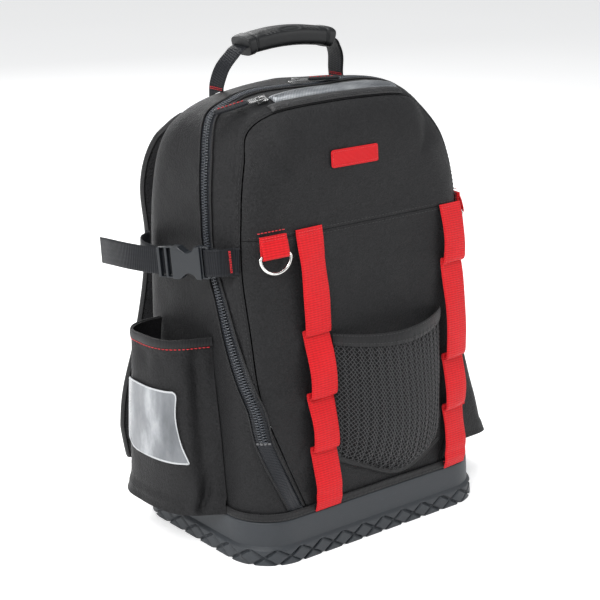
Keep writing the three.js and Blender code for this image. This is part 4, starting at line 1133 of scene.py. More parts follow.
def red_strap(name, top, x_top, x_foot, tacks, bows, seed):
    """Path down the front through the stops, with a skewed bow between each two."""
    stops = [top] + list(tacks) + [strap_foot]
    route = [(top, 0.0)]
    for k, bow in enumerate(bows):
        start, end = stops[k], stops[k + 1]
        route += [(lerp(start, end, t), bow * b) for t, b in ((0.16, 0.30), (0.40, 0.74), (0.66, 1.0))]
        if k < len(bows) - 1:
            route += [(lerp(start, end, 0.88), bow * 0.98), (end - 0.6, bow * 0.82)]
            route += [(end - 3.4, bow * 0.52), (end - 2.2, 2.6), (end + 1.2, 2.1)]
            route += [(end + 2.6, 1.0), (end + 0.8, 0.1)]
        else:
            route += [(lerp(start, end, 0.88), bow * 0.45), (end, 0.0)]
    z, bow = spline([(height, bow, 0.0) for height, bow in route], 260)[:, :2].T
    bow = np.maximum(bow, 0.0)
    x = lerp(x_top, x_foot, (top - z) / (top - strap_foot))
    at, out = front_frame(x, z)
    path = at + out * (seat + strap_thick / 2 + past_tape(z) + bow)[:, None]
    side = unit(unit(np.cross(out, -upward)).mean(0))
    tilt = 0.09 * ripple(path, 60.0, seed) * np.clip(bow / 4, 0, 1)
    side = unit(side + out * tilt[:, None])
    profile = np.repeat(tape_profile(red_width, strap_thick, 14)[None], len(path), 0)
    curl = -0.9 * np.clip(bow / 6, 0, 1)
    profile[..., 1] += curl[:, None] * (profile[..., 0] / (red_width / 2)) ** 2
    points = sweep(path, side, profile)
    webbing(name, points, profile[0], path, red_web, name.replace("webbing", "strap"))
    for height in (top - 5, strap_foot + 5):
        for shift in (-1.6, 1.6):
            bar_x = lerp(x_top, x_foot, (top - height) / (top - strap_foot)) + np.linspace(-15, 15, 24)
            bar, away = front_frame(bar_x, np.full(24, height + shift))
            sew("red", bar + away * (seat + strap_thick + 0.15), away, length=2.4, gap=0.7, lift=0.55)


red_strap("red_webbing_left", 361.0, -77.0, -72.0, (249.0, 179.0, 119.0), (7.0, 11.0, 9.0, 8.0), 31)
red_strap("red_webbing_right", 356.0, 130.0, 119.0, (293.0, 182.0, 122.0), (7.0, 9.0, 8.0, 7.0), 32)

# %% [markdown]
# A side pocket is a bellows: its plan is a curve that leaves the side, runs along it and comes back.
# Each height has its own plan, because the pocket widens downwards. Its cloth gets wrinkles under the
# hem and a fold at the foot, and a taped hem holds its mouth.

# %% Pocket form
bellows_plan = [
    (0, 0), (0.05, 0.22), (0.12, 0.55), (0.24, 0.84), (0.42, 0.98), (0.62, 1), (0.82, 0.95),
    (0.95, 0.72), (1, 0.4), (1, 0),
]
wedge_plan = [
    (0, 0), (0.01, 0.4), (0.03, 0.85), (0.08, 1), (0.3, 1), (0.6, 1), (0.9, 1), (0.97, 0.8), (1, 0.4), (1, 0),
]
left_form = {
    "side": -1, "height": 195.0, "fronts": (-60, -34), "rears": (86, 62), "outs": (51.0, 53.0),
    "plan": bellows_plan,
}
right_form = {
    "side": 1, "height": 176.0, "fronts": (-66, -58), "rears": (58, 50), "outs": (61.0, 8.0),
    "plan": wedge_plan,
}


def side_limit(z):
    """How far out the bag's side and its binding reach at a height."""
    return half_width + 2 * seat + past_tape(z)


def pocket_rows(form, u, count):
    """Even places round the pocket at each height u, and their outward directions."""
    lines, ways = [], []
    for level in u:
        z = base_height + seat + level * form["height"]
        start = side_limit(z)
        stand = lerp(*form["outs"], level)
        front, rear = lerp(*form["fronts"], level), lerp(*form["rears"], level)
        plan = [(-start - part * stand, lerp(front, rear, run), 0) for run, part in form["plan"]]
        line = spline(plan, count - 1)
        way = unit(np.gradient(line, axis=0))
        line[:, 2] = z
        lines.append(line)
        ways.append(np.column_stack([-way[:, 1], way[:, 0], np.zeros(count)]))
    return np.stack(lines) * [-form["side"], 1, 1], np.stack(ways) * [-form["side"], 1, 1]


def pocket_sheet(form, u, v_from, v_to, count, low, high):
    """Outer and inner faces between two shares of the way round, at two stand-offs."""
    dense = 241
    at, out = pocket_rows(form, u, dense)
    pick = np.linspace(v_from, v_to, count) * (dense - 1)
    base = np.clip(pick.astype(int), 0, dense - 2)
    part = (pick - base)[None, :, None]
    at = at[:, base] * (1 - part) + at[:, base + 1] * part
    out = unit(out[:, base] * (1 - part) + out[:, base + 1] * part)
    low, high = (np.broadcast_to(np.asarray(k, float), at.shape[:2])[..., None] for k in (low, high))
    return at + out * high, at + out * low


def keep_off_side(points, form):
    """No point of a pocket goes inside the bag's side."""
    side = form["side"]
    points[..., 0] = side * np.maximum(side * points[..., 0], side_limit(points[..., 2]))
    return points

# %% [markdown]
# The pocket's cloth hangs from its hem and creases where it turns at the foot. A cloth simulation would
# choose its own folds. Here each fold is a term of a formula with its place and its depth, and the hem is a
# domed tape round the mouth.


# %% Pocket cloth and hem
def pocket(name, form, seed, folds):
    """Cloth wall with its folds, then the taped hem with its stitches."""
    rows, columns = 96, 150
    u = np.linspace(0, 1, rows)
    at, _ = pocket_sheet(form, u, 0, 1, columns, 0, 0)
    v = np.linspace(0, 1, columns)[None, :]
    sink = folds(u[:, None], v, at, seed)
    outer, inner = pocket_sheet(form, u, 0, 1, columns, -2.0 + np.minimum(sink, 0), sink)
    outer, inner = keep_off_side(outer, form), keep_off_side(inner, form)
    run = run_of(at[rows // 2])
    up = u[:, None] * form["height"]
    make_wall(f"{name}_cloth", outer, inner, up, run, cloth, name)

    top = 1 + 1 / form["height"]
    tall = 9.0 / form["height"]
    level = np.linspace(top - tall, top, 11)
    bulge = 1.5 * dome(np.linspace(0.06, 0.94, 11), 0.4)[:, None]
    outer, inner = pocket_sheet(form, level, 0, 1, columns, seat, seat + bulge)
    outer, inner = keep_off_side(outer, form), keep_off_side(inner, form)
    up = level[:, None] * form["height"]
    make_wall(f"{name}_binding", outer, inner, run, up, edge_tape, f"{name}_hem")
    line_at, _ = pocket_sheet(form, np.array([top - tall * 1.16]), 0.02, 0.98, 300, 0, 0)
    way = unit(np.gradient(line_at[0], axis=0))
    away = np.column_stack([-way[:, 1], way[:, 0], np.zeros(300)])
    away = away * np.sign(away[150, 0] * form["side"])
    sew("red", line_at[0] + away * 0.25, away, length=3.2, gap=1.2, lift=0.7)


def bellows_folds(u, v, at, seed):
    """Wrinkles below the hem, upright slack, and one slanting fold near the front foot.

    run is about the length in mm round the pocket from its front seam; the window's place stays flat.
    """
    under_hem = np.clip((0.93 - u) / 0.05, 0, 1) * np.exp(-((0.93 - u) / 0.13).clip(0) ** 1.4)
    run = v * 260.0
    unrolled = np.stack(np.broadcast_arrays(run, u * 30, 0.0), -1)
    upright = 1.7 * under_hem * (ripple(unrolled, 26.0, seed) - 0.3)
    slack = 1.5 * ripple(at, 62.0, seed + 1) - 1.1
    line = run - 26.0 - (0.16 - u) * 60
    slant = -4.2 * np.exp(-(line / 6.5) ** 2) * np.clip((0.26 - u) / 0.14, 0, 1)
    ridge = 3.4 * np.exp(-((line - 15) / 9.0) ** 2) * np.clip((0.30 - u) / 0.16, 0, 1)
    drape = 2.6 * np.exp(-((run - 52.0) / 15) ** 2) - 3.6 * np.exp(-((run - 29.9) / 11) ** 2)
    ridge = ridge + drape * np.clip(u / 0.2, 0, 1) * np.clip((1 - u) / 0.18, 0, 1)
    clear = np.clip(np.minimum(np.abs(v - 0.475) - 0.245, 1) / 0.05, 0, 1)
    window = np.clip(np.maximum(np.abs(u - 0.505) - 0.215, 0) / 0.04, 0, 1)
    free = np.maximum(clear, window)
    foot = np.clip(u / 0.03, 0, 1)
    folds = (upright + slack + ridge) * foot + slant * foot
    return np.where(free > 0.02, lerp(np.minimum(folds, 0), folds, free), np.minimum(folds, 0))


def wedge_folds(u, v, at, seed):
    """Slow slack with a few upright wrinkles."""
    return (1.3 * ripple(at, 48.0, seed) - 1.2) * np.clip(u / 0.04, 0, 1)


pocket("left_pocket", left_form, 41, bellows_folds)
pocket("right_pocket", right_form, 45, wedge_folds)

# %% [markdown]
# The pocket window is a sheet of milky vinyl with a welded rim. The rim is a slim tube round its edge,
# and the sheet itself is a little wavy.

# %% Pocket window
window_low, window_high, window_front, window_rear = 0.30, 0.71, 5 / 20, 14 / 20


def pocket_window():
    """The sheet, with its upper corners cut round, and the welded rim."""
    rows, columns = 46, 60
    t = np.linspace(0, 1, rows)
    s = np.linspace(0, 1, columns)
    front_edge = smooth([(0, 0.195), (0.3, 0.240), (0.65, 0.262), (1, window_front)], t)
    cut = np.clip(1 - t / 0.3, 0, 1)
    rear_side = window_rear - 0.11 * (1 - np.sqrt(1 - 0.999 * cut ** 2))
    corner = 0.10
    bend = np.maximum((t - 1 + corner) / corner, 0)
    edge = corner * 0.5 * (1 - np.sqrt(np.maximum(1 - bend ** 2, 0)))
    lattice = []
    for k, level in enumerate(lerp(window_low, window_high, t)):
        v = lerp(front_edge[k] + edge[k] * 0.45, rear_side[k] - edge[k] * 0.45, s)
        wavy, _ = pocket_sheet(left_form, np.array([level]), v[0], v[-1], columns, 0, 0)
        lattice.append(wavy[0])
    at = np.stack(lattice)
    away = unit(np.cross(np.gradient(at, axis=1), np.gradient(at, axis=0)))
    away = away * np.sign(-away[rows // 2, columns // 2, 0])
    proud = 2 * seat + 0.75 + 0.3 * ripple(at, 24.0, 51)
    outer, inner = at + away * proud[..., None], at + away * (2 * seat)
    make_wall("window_sheet", outer, inner, t[:, None] * 80, s * 110, vinyl, "pocket_window")
    rim = at + away * 1.2
    loop = even_loop(np.concatenate([rim[0], rim[1:, -1], rim[-1, ::-1][1:], rim[::-1, 0][1:-1]]), 400)
    way = loop_way(loop)
    out = unit(np.cross(way, upward) + [-0.6, 0, 0])
    side = unit(np.cross(out, way))
    ring = round_ring(8, side, np.cross(way, side), 1.1, 0.6)
    make("window_rim", loop[:, None] + ring, vinyl_edge, ends="closed")


pocket_window()

# %% [markdown]
# The net pocket is knotless netting gathered under a taped hem. A net that is only painted looks flat,
# so every strand is a thin tube: two families of slanting lines over the pocket's own surface.

# %% Net pocket form
net_rim, net_foot, net_out, net_wall = 240.0, 64.0, 34.0, 1.2
net_hem, net_sag, net_step = 14.0, 8.0, 9.0
net_left, net_right, net_rim_out = -55.0, 106.0, 26.0
net_shape = [(0, net_rim_out / net_out), (0.3, 0.93), (0.6, 1), (0.85, 0.72), (0.95, 0.36), (1, 0)]
net_foot_rows = [(0, 36), (0.25, 18), (0.55, 0), (0.8, 6), (1, 22)]


def net_point(u, v):
    """u runs across and v down; the net stands off most below the middle and closes at its foot."""
    top = net_rim - net_sag * np.sin(np.pi * u)
    foot = net_foot + smooth(net_foot_rows, u)
    z = lerp(top, foot, v)
    right = net_right - net_step * (net_rim - z) / (net_rim - net_foot)
    swell = np.sin(np.pi * np.clip(u, 0, 1)) ** 0.7
    at, out = front_frame(lerp(net_left, right, u), z)
    stand = seat + net_wall + net_out * swell * smooth(net_shape, np.clip(v, 0, 1))
    return at + out * stand[..., None], out


def pleats(u, v):
    """Upright gathers: deep under the hem and at the foot, shallow between."""
    depth = 1.0 + 1.6 * v ** 3 + 1.2 * np.exp(-v / 0.1)
    wave = np.sin(2 * np.pi * (u * 17 + 0.35 * np.sin(9 * u) + 0.12 * np.sin(5 * v)))
    wave = wave + 0.5 * np.sin(2 * np.pi * u * 31 + 2)
    edge = np.clip(np.minimum(u, 1 - u) / 0.05, 0, 1)
    return (wave * 0.55 - 0.8) * depth * edge

# %% [markdown]
# Each family of strands starts along the rim and one side, and is clipped to the pocket's square of u and
# v. The hem is a domed tape, and a narrow flat tape sews the net's outline to the front.


# %% Net strands and hem
def net_pocket():
    """Strands, clipped to the pocket's square of u and v, then the hem tape with its stitches."""
    per_family, steps = 66, 64
    slope = 0.62
    lines = []
    for sign in (1, -1):
        start = np.linspace(-slope if sign > 0 else 0, 1 if sign > 0 else 1 + slope, per_family)
        v_in = np.clip(-start / slope if sign > 0 else (start - 1) / slope, 0, 1)
        v_out = np.clip((1 - start) / slope if sign > 0 else start / slope, 0, 1)
        keep = v_out - v_in > 0.03
        v = lerp(v_in[keep, None], v_out[keep, None], np.linspace(0, 1, steps)[None, :])
        u = np.clip(start[keep, None] + sign * slope * v, 0, 1)
        at, out = net_point(u, lerp(0.05, 1.0, v))
        weave = 0.22 * sign * np.cos(np.pi * (u * per_family * 0.9))
        lines.append(at + out * (pleats(u, v) + weave - 0.5)[..., None])
    tubes("net_strands", np.concatenate(lines), 0.5, strand, node="net_pocket")

    level = np.linspace(-0.012, net_hem / (net_rim - net_foot), 9)[:, None]
    u = np.linspace(0.002, 0.998, 170)[None, :]
    at, out = net_point(u, np.broadcast_to(level, (9, 170)))
    gather = 0.5 * np.clip(pleats(u, level * 0) / 2, -1.2, 0) * np.clip((level - 0.02) / 0.05, 0, 1)
    rise = 1.9 * dome(np.linspace(0.05, 0.95, 9), 0.35)[:, None]
    outer = at + out * (seat + rise + gather)[..., None]
    inner = at + out * (seat - 0.1 + gather)[..., None]
    down = level * (net_rim - net_foot)
    make_wall("net_binding", outer, inner, lengths(at, 1), down, edge_tape, "net_pocket_hem")
    for row in (1, 6):
        sew("black", outer[row], out[4], length=3.0, gap=1.2)

    left, right = (net_point(np.full(60, side), np.linspace(0.04, 1, 60)) for side in (0.0, 1.0))
    foot = net_point(np.linspace(0, 1, 160), np.full(160, 0.995))
    outline, away = (np.vstack([left[k][:-1], foot[k], right[k][::-1][1:]]) for k in range(2))
    outline = outline + away * 0.2
    side = np.cross(away, unit(np.gradient(outline, axis=0)))
    make("net_edge_tape", sweep(outline, side, tape_profile(6.0, 1.3, 4)), edge_tape, ends="fan")


net_pocket()

# %% [markdown]
# Small hardware sits in a local frame: one axis along, one up and one out of the skin. The ring hangs
# in a folded loop of webbing; the fold is a path that goes down, round the wire and up again.


# %% Local frames
def frame_at(along, over):
    """Place, direction along the arch and outward direction, by differences of 1 mm."""
    at = skin(along, over)
    tangent = unit(skin(along + 1.0, over) - skin(along - 1.0, over))
    across = unit(skin(along, over + 1.0) - skin(along, over - 1.0))
    out = unit(np.cross(tangent, across))
    if np.dot(out, skin(along, over, -3.0) - at) > 0:
        out = -out
    return at, tangent, out


def placed(local, at, x, y, z):
    """Points of a local frame in the bag's frame."""
    return at + np.asarray(local, float) @ np.stack([x, y, z])

# %% [markdown]
# A D ring is bent wire with its weld in the straight bar. A torus has no straight bar, so a round section
# is carried along a closed line that has one, and the loop of webbing turns round that bar.

# %% D rings and their loops
ring_width, ring_drop, ring_wire, loop_width, loop_height = 40.0, 19.0, 3.4, 32.0, 25.0
ring_height = 348.0


def ring_set(side, along, over):
    """Folded loop, round wire ring and the stitch bars above the loop."""
    at, tangent, out = frame_at(along, over)
    up = tangent * np.sign(tangent[2])
    across = unit(np.cross(up, out))
    wire = ring_wire / 2
    layer = seat + strap_thick / 2
    bar_out = seat + strap_thick + seat + wire
    turn_r = wire + seat + strap_thick / 2
    bar_up = -0.35 * loop_height
    top_up = loop_height + bar_up - 4
    turn = np.linspace(0, np.pi, 9)[1:-1]
    path = [(0, top_up, layer), (0, 0.4 * top_up, layer), (0, bar_up, layer)]
    path += [(0, bar_up - turn_r * math.sin(a), bar_out - turn_r * math.cos(a)) for a in turn]
    path += [(0, bar_up, bar_out + turn_r), (0, 0.3 * top_up, bar_out + 0.8),
             (0, 0.7 * top_up, layer + strap_thick + 0.4), (0, top_up, layer + strap_thick + 0.35)]
    line = placed(spline(path, 70), at, across, up, out)
    strap(f"ring_loop_webbing_{side}", line, across, loop_width, strap_thick, red_web,
          f"ring_loop_{side}")
    half, drop = ring_width / 2 - wire, ring_drop - wire
    arc = np.linspace(0, np.pi, 60)
    bow = np.stack([half * np.cos(arc), bar_up - 2 - drop * np.sin(arc), np.full(60, bar_out)], -1)
    bar = [[x, bar_up, bar_out] for x in (1.6 - half, 0, half - 1.6)]
    loop = even_loop(np.vstack([bow, bar]), 120)
    way = loop_way(loop)
    flat = np.column_stack([way[:, 1], -way[:, 0], np.zeros(120)])
    ring = loop[:, None] + round_ring(14, flat, upward[None], wire, wire)
    make(f"ring_wire_{side}", placed(ring, at, across, up, out), nickel, body=f"ring_{side}",
         node=f"d_ring_{side}", ends="closed")
    on_loop = layer + 1.5 * strap_thick + 0.45
    bars = [(top_up - 1.6, on_loop, -2, 14, {"length": 2.6, "gap": 0.8}),
            (top_up - 4.2, on_loop, -2, 14, {"length": 2.6, "gap": 0.8}),
            (top_up + 4.0, -0.2, 1, 18, {"length": 3.0, "gap": 0.9, "lift": 0.8})]
    for height, off, wider, count, how in bars:
        x = np.linspace(-1, 1, count) * (loop_width / 2 + wider)
        line = np.column_stack([x, np.full(count, height), np.full(count, off)])
        sew("red", placed(line, at, across, up, out), out, **how)


ring_set("left", ring_height - base_height, 1.43 * front_corner)
ring_set("right", whole - (ring_height - base_height), 0.45 * front_corner)

# %% [markdown]
# Each puller carries a flat tab with a red row of stitches. A bent box would do from afar, but the swell
# and the round ends come more easily from a section that changes along a path.


# %% Zip pull tabs
def pull_tab(name, along, over, lift, way, body):
    """A flat tab of folded webbing that swells in its middle and has round ends."""
    at, tangent, out = frame_at(along, over)
    y_axis = np.cross(out, tangent)
    eye = lift + 2.6 + 1.3
    start, length = 16.0 + seat, 40.0
    t = np.linspace(0, 1, 60)
    x = way * (start + t * length)
    height = eye - 0.4 * np.sin(np.pi * t) - 1.6 * t ** 2
    path = np.column_stack([x, np.zeros(60), height])
    end = np.minimum(t, 1 - t)
    swell = (8 + 2 * np.sin(np.pi * t)) * np.clip(end / 0.05, 0.05, 1) ** 0.5
    thick = 3.2 * np.clip(end / 0.04, 0.1, 1) ** 0.5
    wide, high = squarish(turns(20), (0.55, 0.7))
    profile = np.stack([wide * swell[:, None] / 2, high * thick[:, None] / 2], -1)
    points = sweep(path, rearward, profile)
    make(f"{name}_tab", placed(points, at, tangent, y_axis, out), black_web, body=body,
         node=f"{name}_pull_tab", ends="fan", sharp=70)
    line = np.column_stack([x[6:-6], np.full(48, 2.3), height[6:-6] + 1.5])
    paths = stitch_paths(placed(line, at, tangent, y_axis, out), out, 2.8, 1.3, 0.6)
    tubes(f"{name}_tab_stitches", paths, 0.5, red_thread, body)


pull_tab("main_zip", half_run - 22, float(zip_over(half_run - 22)), 1.9, 1, "main_pull")
pull_tab("front_zip", half_run - 92, 0.32 * crown_corner, seat, -1, "front_pull")

# %% [markdown]
# Sliders, pullers and the buckle keep their solids: their shapes are exact. A CAD mesh has hard edges,
# so two live modifiers weld its triangles and round its edges a little, as plating and moulding do.


# %% Metal and buckle solids
def finish_solid(node, paint, radius, segments=3):
    """A CAD node's own mesh with welded corners, rounded edges and its material."""
    piece = bpy.data.objects[node]
    for slot in piece.material_slots:
        slot.material = paint
    weld = piece.modifiers.new("weld", "WELD")
    weld.merge_threshold = 0.00001
    bevel = piece.modifiers.new("round", "BEVEL")
    bevel.width = radius * MM
    bevel.segments = segments
    bevel.limit_method = "ANGLE"
    bevel.angle_limit = math.radians(32.0)


for zip_name in ("main_zip", "front_zip"):
    finish_solid(f"{zip_name}_slider", dark_nickel, 0.6)
    finish_solid(f"{zip_name}_puller", dark_nickel, 0.35)
finish_solid("buckle_socket", buckle_plastic, 1.3, 4)
finish_solid("buckle_plug", buckle_plastic, 0.8)
for floor_node in ("left_pocket_floor", "right_pocket_floor"):
    finish_solid(floor_node, cloth, 0.5)
print("solids finished")

# %% [markdown]
# The side strap runs from the front seam to the buckle, folds round its bar, and from the buckle's
# ladder it goes back to the side and leaves a free tail. Both are one webbing profile on a curved path.

# %% Side strap
strap_high, side_width = 334.0, 29.0
buckle_length, buckle_bar, strap_tail = 62.0, 3.6, 53.0
buckle_front = np.array([-half_width - 16.0, -0.245 * 226.0, strap_high])
buckle_way = unit(np.array([-27.0, 56.0, -6.0]))
buckle_out = unit(np.array([-buckle_way[1], buckle_way[0], 0.0]))
buckle_up = unit(np.cross(buckle_out, buckle_way))


def local(x, z):
    """A point of the buckle's middle plane."""
    return buckle_front + x * buckle_way + z * buckle_out


def behind(out, back, down):
    """A point behind the buckle: out from the side, back along it and down from the strap's height."""
    return np.array([-half_width - out, back * 113.0, strap_high - down])


def side_strap():
    """Front stretch with its fold, rear stretch with the ladder turn and the tail, and the bar tack."""
    along = strap_high - base_height
    start, _, start_out = frame_at(along, 0.66 * front_corner)
    leave, _, leave_out = frame_at(along, 0.56 * front_corner)
    lift = seat + strap_thick / 2
    bar = buckle_bar
    fold = [(-14, 1.8), (-2, 3.3), (bar / 2, 3.4), (bar + 1.8, 2), (bar + 2.1, 0), (bar + 1.8, -2),
            (bar / 2, -3.4), (-2, -3.3), (-10, -1.6)]
    front = [start + start_out * (lift + 0.5), leave + leave_out * (lift + 1.4)]
    front_line = spline(front + [local(x, z) for x, z in fold], 110)
    strap("side_webbing_front", front_line, buckle_up, side_width, strap_thick, black_web,
          "side_strap_front")
    plug = 0.7 * buckle_length + seat
    near, far = -4.0, -7.4
    rear = [behind(lift, 0.761, 10), behind(lift + 1, 0.69, 10), behind(18, 0.602, 9), behind(33, 0.407, 8),
            local(buckle_length + 6, far - 1.5), local(buckle_length - 4, far), local(plug + 4, far),
            local(plug + 1.6, (near + far) / 2), local(plug + 4, near), local(buckle_length - 4, near),
            local(buckle_length + 5, near + 0.6), behind(strap_tail, 0.354, 7), behind(strap_tail, 0.655, 10),
            behind(strap_tail - 6, 0.938, 15)]
    strap("side_webbing_rear", spline(rear, 170), upward, side_width, strap_thick, black_web,
          "side_strap_rear")
    way = unit(np.gradient(front_line, axis=0))
    run = np.linalg.norm(front_line - front_line[0], axis=1)
    for shift in (9.5, 11.2):
        k = int(np.searchsorted(run[:40], shift))
        away = unit(np.cross(buckle_up, way[k]))
        away = away * np.sign(np.dot(away, start_out))
        bar_line = front_line[k] + np.outer(np.linspace(-12, 12, 14), buckle_up)
        sew("red", bar_line + away * (strap_thick / 2 + 0.25), away, length=2.2, gap=0.35, lift=0.6)


side_strap()

# %% [markdown]
# The handle is one webbing from foot to foot through a moulded grip. The grip's section is a rounded
# rectangle carried along the handle, with raised collars at its ends, four slanting slots on each side
# and an oval recess in the middle, all pressed into the section's radius.

# %% Handle
handle_half, handle_place, handle_lean, grip_half = 86.0, 62.0, 12.0, 64.0
grip_rise, grip_width, grip_thick, handle_width, foot_clear = 48.0, 33.0, 22.0, 26.0, 1.6


def top_at(x, y):
    """Height of the bag's top over a place behind the zip, by halving."""
    def point(along):
        rear = float(smooth(rear_rows, share(along)))
        start = back_plane - rear
        run = start + rear * math.asin((y - start) / rear) if y > start else y
        over = front_at(float(arch_at(along)[1])) + float(corner_at(along)) - run
        return skin(along, over)

    low, high = 0.5 * half_run, half_run
    for _ in range(30):
        mid = (low + high) / 2
        low, high = (mid, high) if abs(point(mid)[0]) > abs(x) else (low, mid)
    return float(point(low)[2])


def handle_line():
    """The middle line of the handle, from the left foot to the right."""
    foot = top_at(handle_half, handle_place)
    grip_place = handle_place - handle_lean
    half = [
        (handle_half, handle_place, foot + foot_clear),
        (0.99 * handle_half, handle_place, foot + 0.2 * grip_rise),
        (0.94 * handle_half, handle_place - 0.4 * handle_lean, crown + 0.38 * grip_rise),
        (0.84 * handle_half, handle_place - 0.8 * handle_lean, crown + 0.66 * grip_rise),
        (grip_half, grip_place, crown + 0.83 * grip_rise),
        (0.5 * grip_half, grip_place, crown + 0.96 * grip_rise),
    ]
    left = [(-x, y, z) for x, y, z in half]
    return spline(left + [(0, grip_place, crown + grip_rise)] + half[::-1], 400)


def grip_relief(run, angle):
    """Relief of the grip: slots and a recess on its upper front, collars, and fine ribs below."""
    around = (angle - math.radians(128)) * 13.0
    oval = np.sqrt((run / 13.0) ** 2 + (around / 5.2) ** 2)
    recess = -1.3 / (1 + np.exp((oval - 1) * 16))
    slots = 0
    for sign in (-1, 1):
        for k in range(4):
            centre = sign * (21.0 + 5.2 * k)
            tilt = run - centre - 0.45 * around
            slots = slots - 1.1 * np.exp(-(tilt / 1.3) ** 4) * np.exp(-(around / 4.6) ** 6)
    edge = grip_end - np.abs(run)
    collar = 1.0 / (1 + np.exp((edge - 10.0) * 2.2)) - 0.8 / (1 + np.exp((edge - 0.9) * 4))
    neck = -0.7 * np.exp(-((edge - 12.0) / 1.3) ** 2)
    below = np.abs(math.radians(270) - angle) < 0.9
    ribs = 0.18 * np.cos(run * 2 * np.pi / 3.2) * below
    return recess + slots + collar + neck + ribs


handle_path = handle_line()
handle_run = run_of(handle_path)
grip_end = 0.255 * handle_run[-1]


def handle():
    """The webbing with its feet on the bag, and the grip round its middle."""
    profile = tape_profile(handle_width, strap_thick)
    points = sweep(handle_path, rearward, profile)
    for ring in (points[0], points[-1]):
        ring[:, 2] = [top_at(x, y) + 0.6 for x, y, _ in ring]
    webbing("handle_webbing", points, profile, handle_path, black_web, "handle_web")

    keep = np.abs(handle_run - handle_run[-1] / 2) <= grip_end
    path = resample(handle_path[keep], 220)
    run = np.linspace(-grip_end, grip_end, 221)[:, None]
    angle = turns(132, 0.5)
    swell = 0.96 + 0.04 * np.cos(np.pi * run / (2 * grip_end))
    wide, high = squarish(angle, 0.62)
    size = np.stack([wide * swell * grip_width / 2, high * swell * grip_thick / 2], -1)
    relief = grip_relief(run, angle[None, :])[..., None]
    size = size + unit(size) * relief
    way = unit(np.gradient(path, axis=0))
    up = unit(np.cross(way, rearward))
    outer = path[:, None] + size[..., :1] * rearward + size[..., 1:] * up[:, None]
    hole = np.array([handle_width, strap_thick]) / 2 + seat
    bore = np.clip(np.column_stack([wide, high]) * 1.4, -1, 1) * hole
    inner = path[:, None] + bore[..., :1] * rearward + bore[..., 1:] * up[:, None]
    rings = np.concatenate([outer, inner[::-20]])
    make("grip_moulding", rings, grip_rubber, node="handle_grip", ends="closed", sharp=40)

    for sign in (1, -1):
        for rise in (3.0, 4.3):
            row = int(np.searchsorted(handle_run, rise))
            foot = handle_path[row if sign > 0 else -row - 1]
            bar = foot + np.outer(np.linspace(-11.5, 11.5, 14), rearward)
            for face in (-sign, sign):
                away = np.array([face, 0, 0.05])
                sew("red", bar + away * (strap_thick / 2 + 0.2), away, length=2.4, gap=0.6, lift=0.5)


handle()

# %% [markdown]
# The back is plain: a padded panel of spacer mesh, a yoke and two padded straps. Padding is a closed
# crowned form whose face sinks along the quilting lines. The shoulder pads' edges carry a bound tape.

# %% Back panel
panel_back, panel_thick = back_plane + 3.0, 12.0


def back_outline(count):
    """Outline of the back panel inside the rear seam."""
    along = np.linspace(seat, whole - seat, count)
    x, z, nx, nz = arch_at(along)
    rear = smooth(rear_rows, share(along))
    inset = rear - (rear - wall) * math.cos(rear_turn) + seam_gap
    return np.column_stack([x - nx * inset, np.maximum(z - nz * inset, 57.0 + seat)])


def back_panel():
    """Rings from the middle of the inner face out to the edge, and back over the quilted outer face."""
    line = even_loop(back_outline(400), 360)
    centre = np.array([0.0, 250.0])
    rows = []
    inner_face = [(0.2, -panel_thick), (0.97, -panel_thick), (0.995, 2 - panel_thick), (1, -6.0), (1, -3.0)]
    for reach, y in inner_face:
        rows.append(np.column_stack([centre + (line - centre) * reach, np.full(360, y)]))
    for reach in np.concatenate([np.linspace(0.995, 0.9, 9), np.linspace(0.88, 0.05, 56)]):
        at = centre + (line - centre) * reach
        edge = (1 - reach) * 130.0
        fall = -2.6 * np.exp(-(edge / 4.0) ** 2)
        x, z = at.T
        quilting = [np.abs(z - level - 0.12 * np.abs(x)) for level in (110.0, 180.0, 250.0, 320.0, 390.0)]
        lines = np.minimum.reduce([np.abs(x)] + quilting)
        channel = -2.3 * np.exp(-(lines / 3.4) ** 2) * np.clip((edge - 6) / 8, 0, 1)
        puff = -0.35 + 0.35 * ripple(np.column_stack([x, z, 0 * x]), 40.0, 61)
        rows.append(np.column_stack([at, fall + channel + puff * np.clip(edge / 10, 0, 1)]))
    points = np.stack(rows)[..., [0, 2, 1]]
    points[..., 1] = np.minimum(points[..., 1], 0.0) + panel_back
    piece = make("back_padding", points, mesh_cloth, node="back_panel", ends="fan", sharp=70)
    loop = centre + (line - centre) * 0.955
    stitch = np.column_stack([loop[:, 0], np.full(360, panel_back - 0.8), loop[:, 1]])
    sew("black", stitch, rearward, length=3.6, gap=1.6)


back_panel()

# %% [markdown]
# The pads hang from a reinforced band across the back. It is heavy folded webbing, so its section has a
# raised border, and two rows of stitches hold it.

# %% Yoke
yoke_height, yoke_thick = crown - 56.0, 6.0


def yoke():
    """A reinforced band: rings from its outline inwards, with two rows of stitches."""
    reach = 0.53 * half_width
    outline = [(-1, -15), (-0.91, -20), (0.91, -20), (1, -15), (0.955, 14), (-0.955, 14)]
    corners = np.array([(x * reach, z) for x, z in outline])
    line = even_loop(corners, 240)
    section = [
        (0.3, 0.0), (0.97, 0.0), (0.995, 0.6), (1.0, 2.0), (1.0, 4.2), (0.99, 5.3), (0.965, 5.8),
        (0.9, 5.7), (0.87, 5.2), (0.83, 5.8), (0.6, 6.0), (0.3, 6.0),
    ]
    rows = []
    for size, y in section:
        at = line * [1 - (1 - size) * 0.35, size]
        rows.append(np.column_stack([at[:, 0], np.full(240, y), at[:, 1]]))
    points = np.stack(rows) + [0, panel_back + seat, yoke_height]
    piece = make("yoke_webbing", points, black_web, node="harness_yoke", ends="fan", sharp=60)
    for z in (-15.0, 9.0):
        face = [0, panel_back + seat + yoke_thick, yoke_height + z]
        sew("black", np.linspace(-80, 80, 80)[:, None] * [1, 0, 0] + face, rearward, length=3.4, gap=1.3)


yoke()

